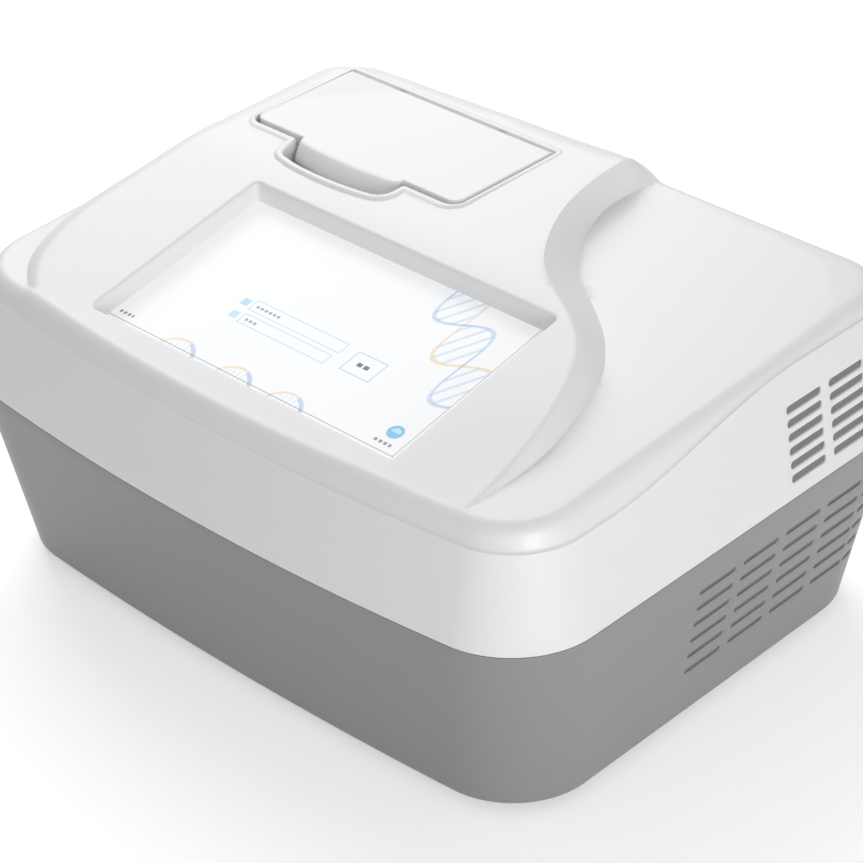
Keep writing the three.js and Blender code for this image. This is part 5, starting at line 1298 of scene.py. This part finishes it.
def build_fan_rotor():
    form = Form()
    form.spin([(0, 2), (9.8, 2), (11.3, 2.5), (FAN_HUB, 4), (FAN_HUB, 21), (FAN_HUB - 0.5, 21.5),
               (0, 21.5)], 40)

    def blade(across, up):
        radius = lerp(FAN_HUB - 0.4, FAN_TIP, across + 0.5)
        pitch = math.radians(lerp(50, 32, across + 0.5))
        chord = up * lerp(15.5, 18, across + 0.5)
        angle = chord * math.cos(pitch) / lerp(radius, 19, 0.35) + 0.25 * across
        z = 11.7 + chord * math.sin(pitch) + 1.1 * (1 - 4 * up ** 2)
        return Vector((radius * math.cos(angle), radius * math.sin(angle), z))

    for k in range(FAN_BLADES):
        form.sheet(7, 6, blade, 1.2).put(angle=k * TAU / FAN_BLADES)
    return form


for k, x in ((1, LID_X - FAN_SPREAD), (2, LID_X + FAN_SPREAD)):
    for name, build, body in (("frame", build_fan_frame, "case"), ("rotor", build_fan_rotor, f"fan_{k}")):
        shape = build().put((x, FAN_Y, FAN_Z), "X", -math.pi / 2, everything=True)
        piece(f"cooling_fan_{name}_{k}", shape, body, "plastic_dark", 35, f"fan_{name}_{k}")


# Cross-recess screws of the back plate
SCREW_SPREAD = 66
SCREW_PROFILE = [(0, -7.7), (1.1, -7.7), (1.4, -7.3), (1.4, 0.3), (2.6, 0.3), (2.8, 0.5), (2.8, 0.9),
                 (2.45, 1.4), (1.6, 1.75), (0, 1.9)]
RECESS_REACH, RECESS_HALF, RECESS_FLOOR = 1.7, 0.32, 0.7


def build_screw():
    head = Form().spin(SCREW_PROFILE, 32)
    bars = [Form().box((-x, -y, RECESS_FLOOR), (x, y, 3))
            for x, y in ((RECESS_REACH, RECESS_HALF), (RECESS_HALF, RECESS_REACH))]
    form = Form()
    points, faces = boolean(head.shape(), *[("DIFFERENCE", bar.shape()) for bar in bars])
    verts = [form.bm.verts.new(p) for p in points]
    for face in faces:
        form.bm.faces.new([verts[i] for i in face])
    return form


for side, x in (("left", -SCREW_SPREAD), ("right", SCREW_SPREAD)):
    screw = build_screw().put((0, 0, 0), "X", -math.pi / 2 - IO_TILT, everything=True)
    screw.put((IO_X + x, IO_Y, IO_Z), everything=True)
    piece(f"back_plate_screw_{side}", screw, "case", "sheet_steel", 30, f"io_screw_{side}")


# Grey sheets behind the slots of both sides, which paint the shade seen inside the slots
SLOT_SHADE_LOOK = surface("slot_shade_grey", (0.2, 0.2, 0.2), 0.7, 0.06, 0.08, 5200, 0.00012)
SLOT_SHADE_INSET = 1.2


def slot_shade_sheet(name, place, t0, t1, low, high):
    def rule(across, up):
        t, z = np.array([lerp(t0, t1, across + 0.5)]), np.array([lerp(low, high, up + 0.5)])
        x, y = place(t, z, SLOT_SHADE_INSET)
        return Vector((x[0], y[0], z[0]))

    # A sheet of painted shade, just inside the wall, seen through the slots
    piece(name, Form().sheet(30, 6, rule, 0.5), "case", "sheet_steel", 40, look=SLOT_SHADE_LOOK)


for side, t0, t1 in (("right", 2.34, 3.2), ("left", 6.66, 5.8)):
    slot_shade_sheet(f"lower_slot_shade_{side}", tub_place, t0, t1, 35, 103)
    slot_shade_sheet(f"upper_slot_shade_{side}", shell_place, lerp(t0, t1, 0.38), t1, 127, 180)


# Stage, lights and camera
FLOOR_GLOW, ROOM_LIGHT = 0.42, 0.51
CAMERA_LENS, CAMERA_PLACE = 125.06, (1.00325, -1.04401, 1.02748)
CAMERA_FORWARD, CAMERA_UP = (-0.57999, 0.60803, -0.54214), (-0.36215, 0.40367, 0.84018)


def seen(tree):
    """1 where a surface is seen by the camera, in a gloss or through glass."""
    path = tree.nodes.new("ShaderNodeLightPath")
    lens, gloss, glass = (Num(tree, path.outputs[f"Is {kind} Ray"])
                          for kind in ("Camera", "Glossy", "Transmission"))
    return lens.most(gloss).most(glass)


def flat_stage():
    mesh = bpy.data.meshes.new("floor")
    r, z = 6.0, -0.0002
    mesh.from_pydata([(-r, -r, z), (r, -r, z), (r, r, z), (-r, r, z)], [], [(0, 1, 2, 3)])
    material, tree, shader = new_material("floor_white")
    shader.inputs["Base Color"].default_value = (0.86, 0.86, 0.86, 1)
    shader.inputs["Roughness"].default_value = 0.9
    shader.inputs["Emission Color"].default_value = (1, 1, 1, 1)
    tree.links.new((seen(tree) * FLOOR_GLOW).socket, shader.inputs["Emission Strength"])
    mesh.materials.append(material)
    add_object("floor", mesh)


flat_stage()


def lamp(name, place, target, size, power):
    light = bpy.data.lights.new(name, "AREA")
    light.shape = "RECTANGLE"
    light.size, light.size_y = size
    light.energy = power
    thing = add_object(name, light)
    thing.location = place
    thing.rotation_euler = (Vector(target) - Vector(place)).to_track_quat("-Z", "Y").to_euler()


lamp("key", (2.1, -1.0, 0.6), (0, 0, 0.1), (0.8, 1.1), 25)
lamp("overhead", (-0.92, 0.6, 1.2), (0, 0, 0.15), (1.3, 1.0), 14.5)

world = bpy.data.worlds.new("studio")
bpy.context.scene.world = world
world.use_nodes = True
nodes, links = world.node_tree.nodes, world.node_tree.links
nodes.clear()
plain, backdrop = nodes.new("ShaderNodeBackground"), nodes.new("ShaderNodeBackground")
plain.inputs["Strength"].default_value = ROOM_LIGHT
backdrop.inputs["Color"].default_value = (1, 1, 1, 1)
mixer, output = nodes.new("ShaderNodeMixShader"), nodes.new("ShaderNodeOutputWorld")
links.new(seen(world.node_tree).socket, mixer.inputs[0])
links.new(plain.outputs[0], mixer.inputs[1])
links.new(backdrop.outputs[0], mixer.inputs[2])
links.new(mixer.outputs[0], output.inputs[0])

camera_data = bpy.data.cameras.new("camera")
camera_data.lens = CAMERA_LENS
camera_data.sensor_width = 36
camera_data.clip_end = 50
camera = add_object("camera", camera_data)
forward = Vector(CAMERA_FORWARD).normalized()
right = forward.cross(Vector(CAMERA_UP)).normalized()
turn = Matrix((right, right.cross(forward), -forward)).transposed().to_4x4()
turn.translation = Vector(CAMERA_PLACE)
camera.matrix_world = turn
bpy.context.scene.camera = camera
bpy.context.scene.view_settings.view_transform = "Standard"
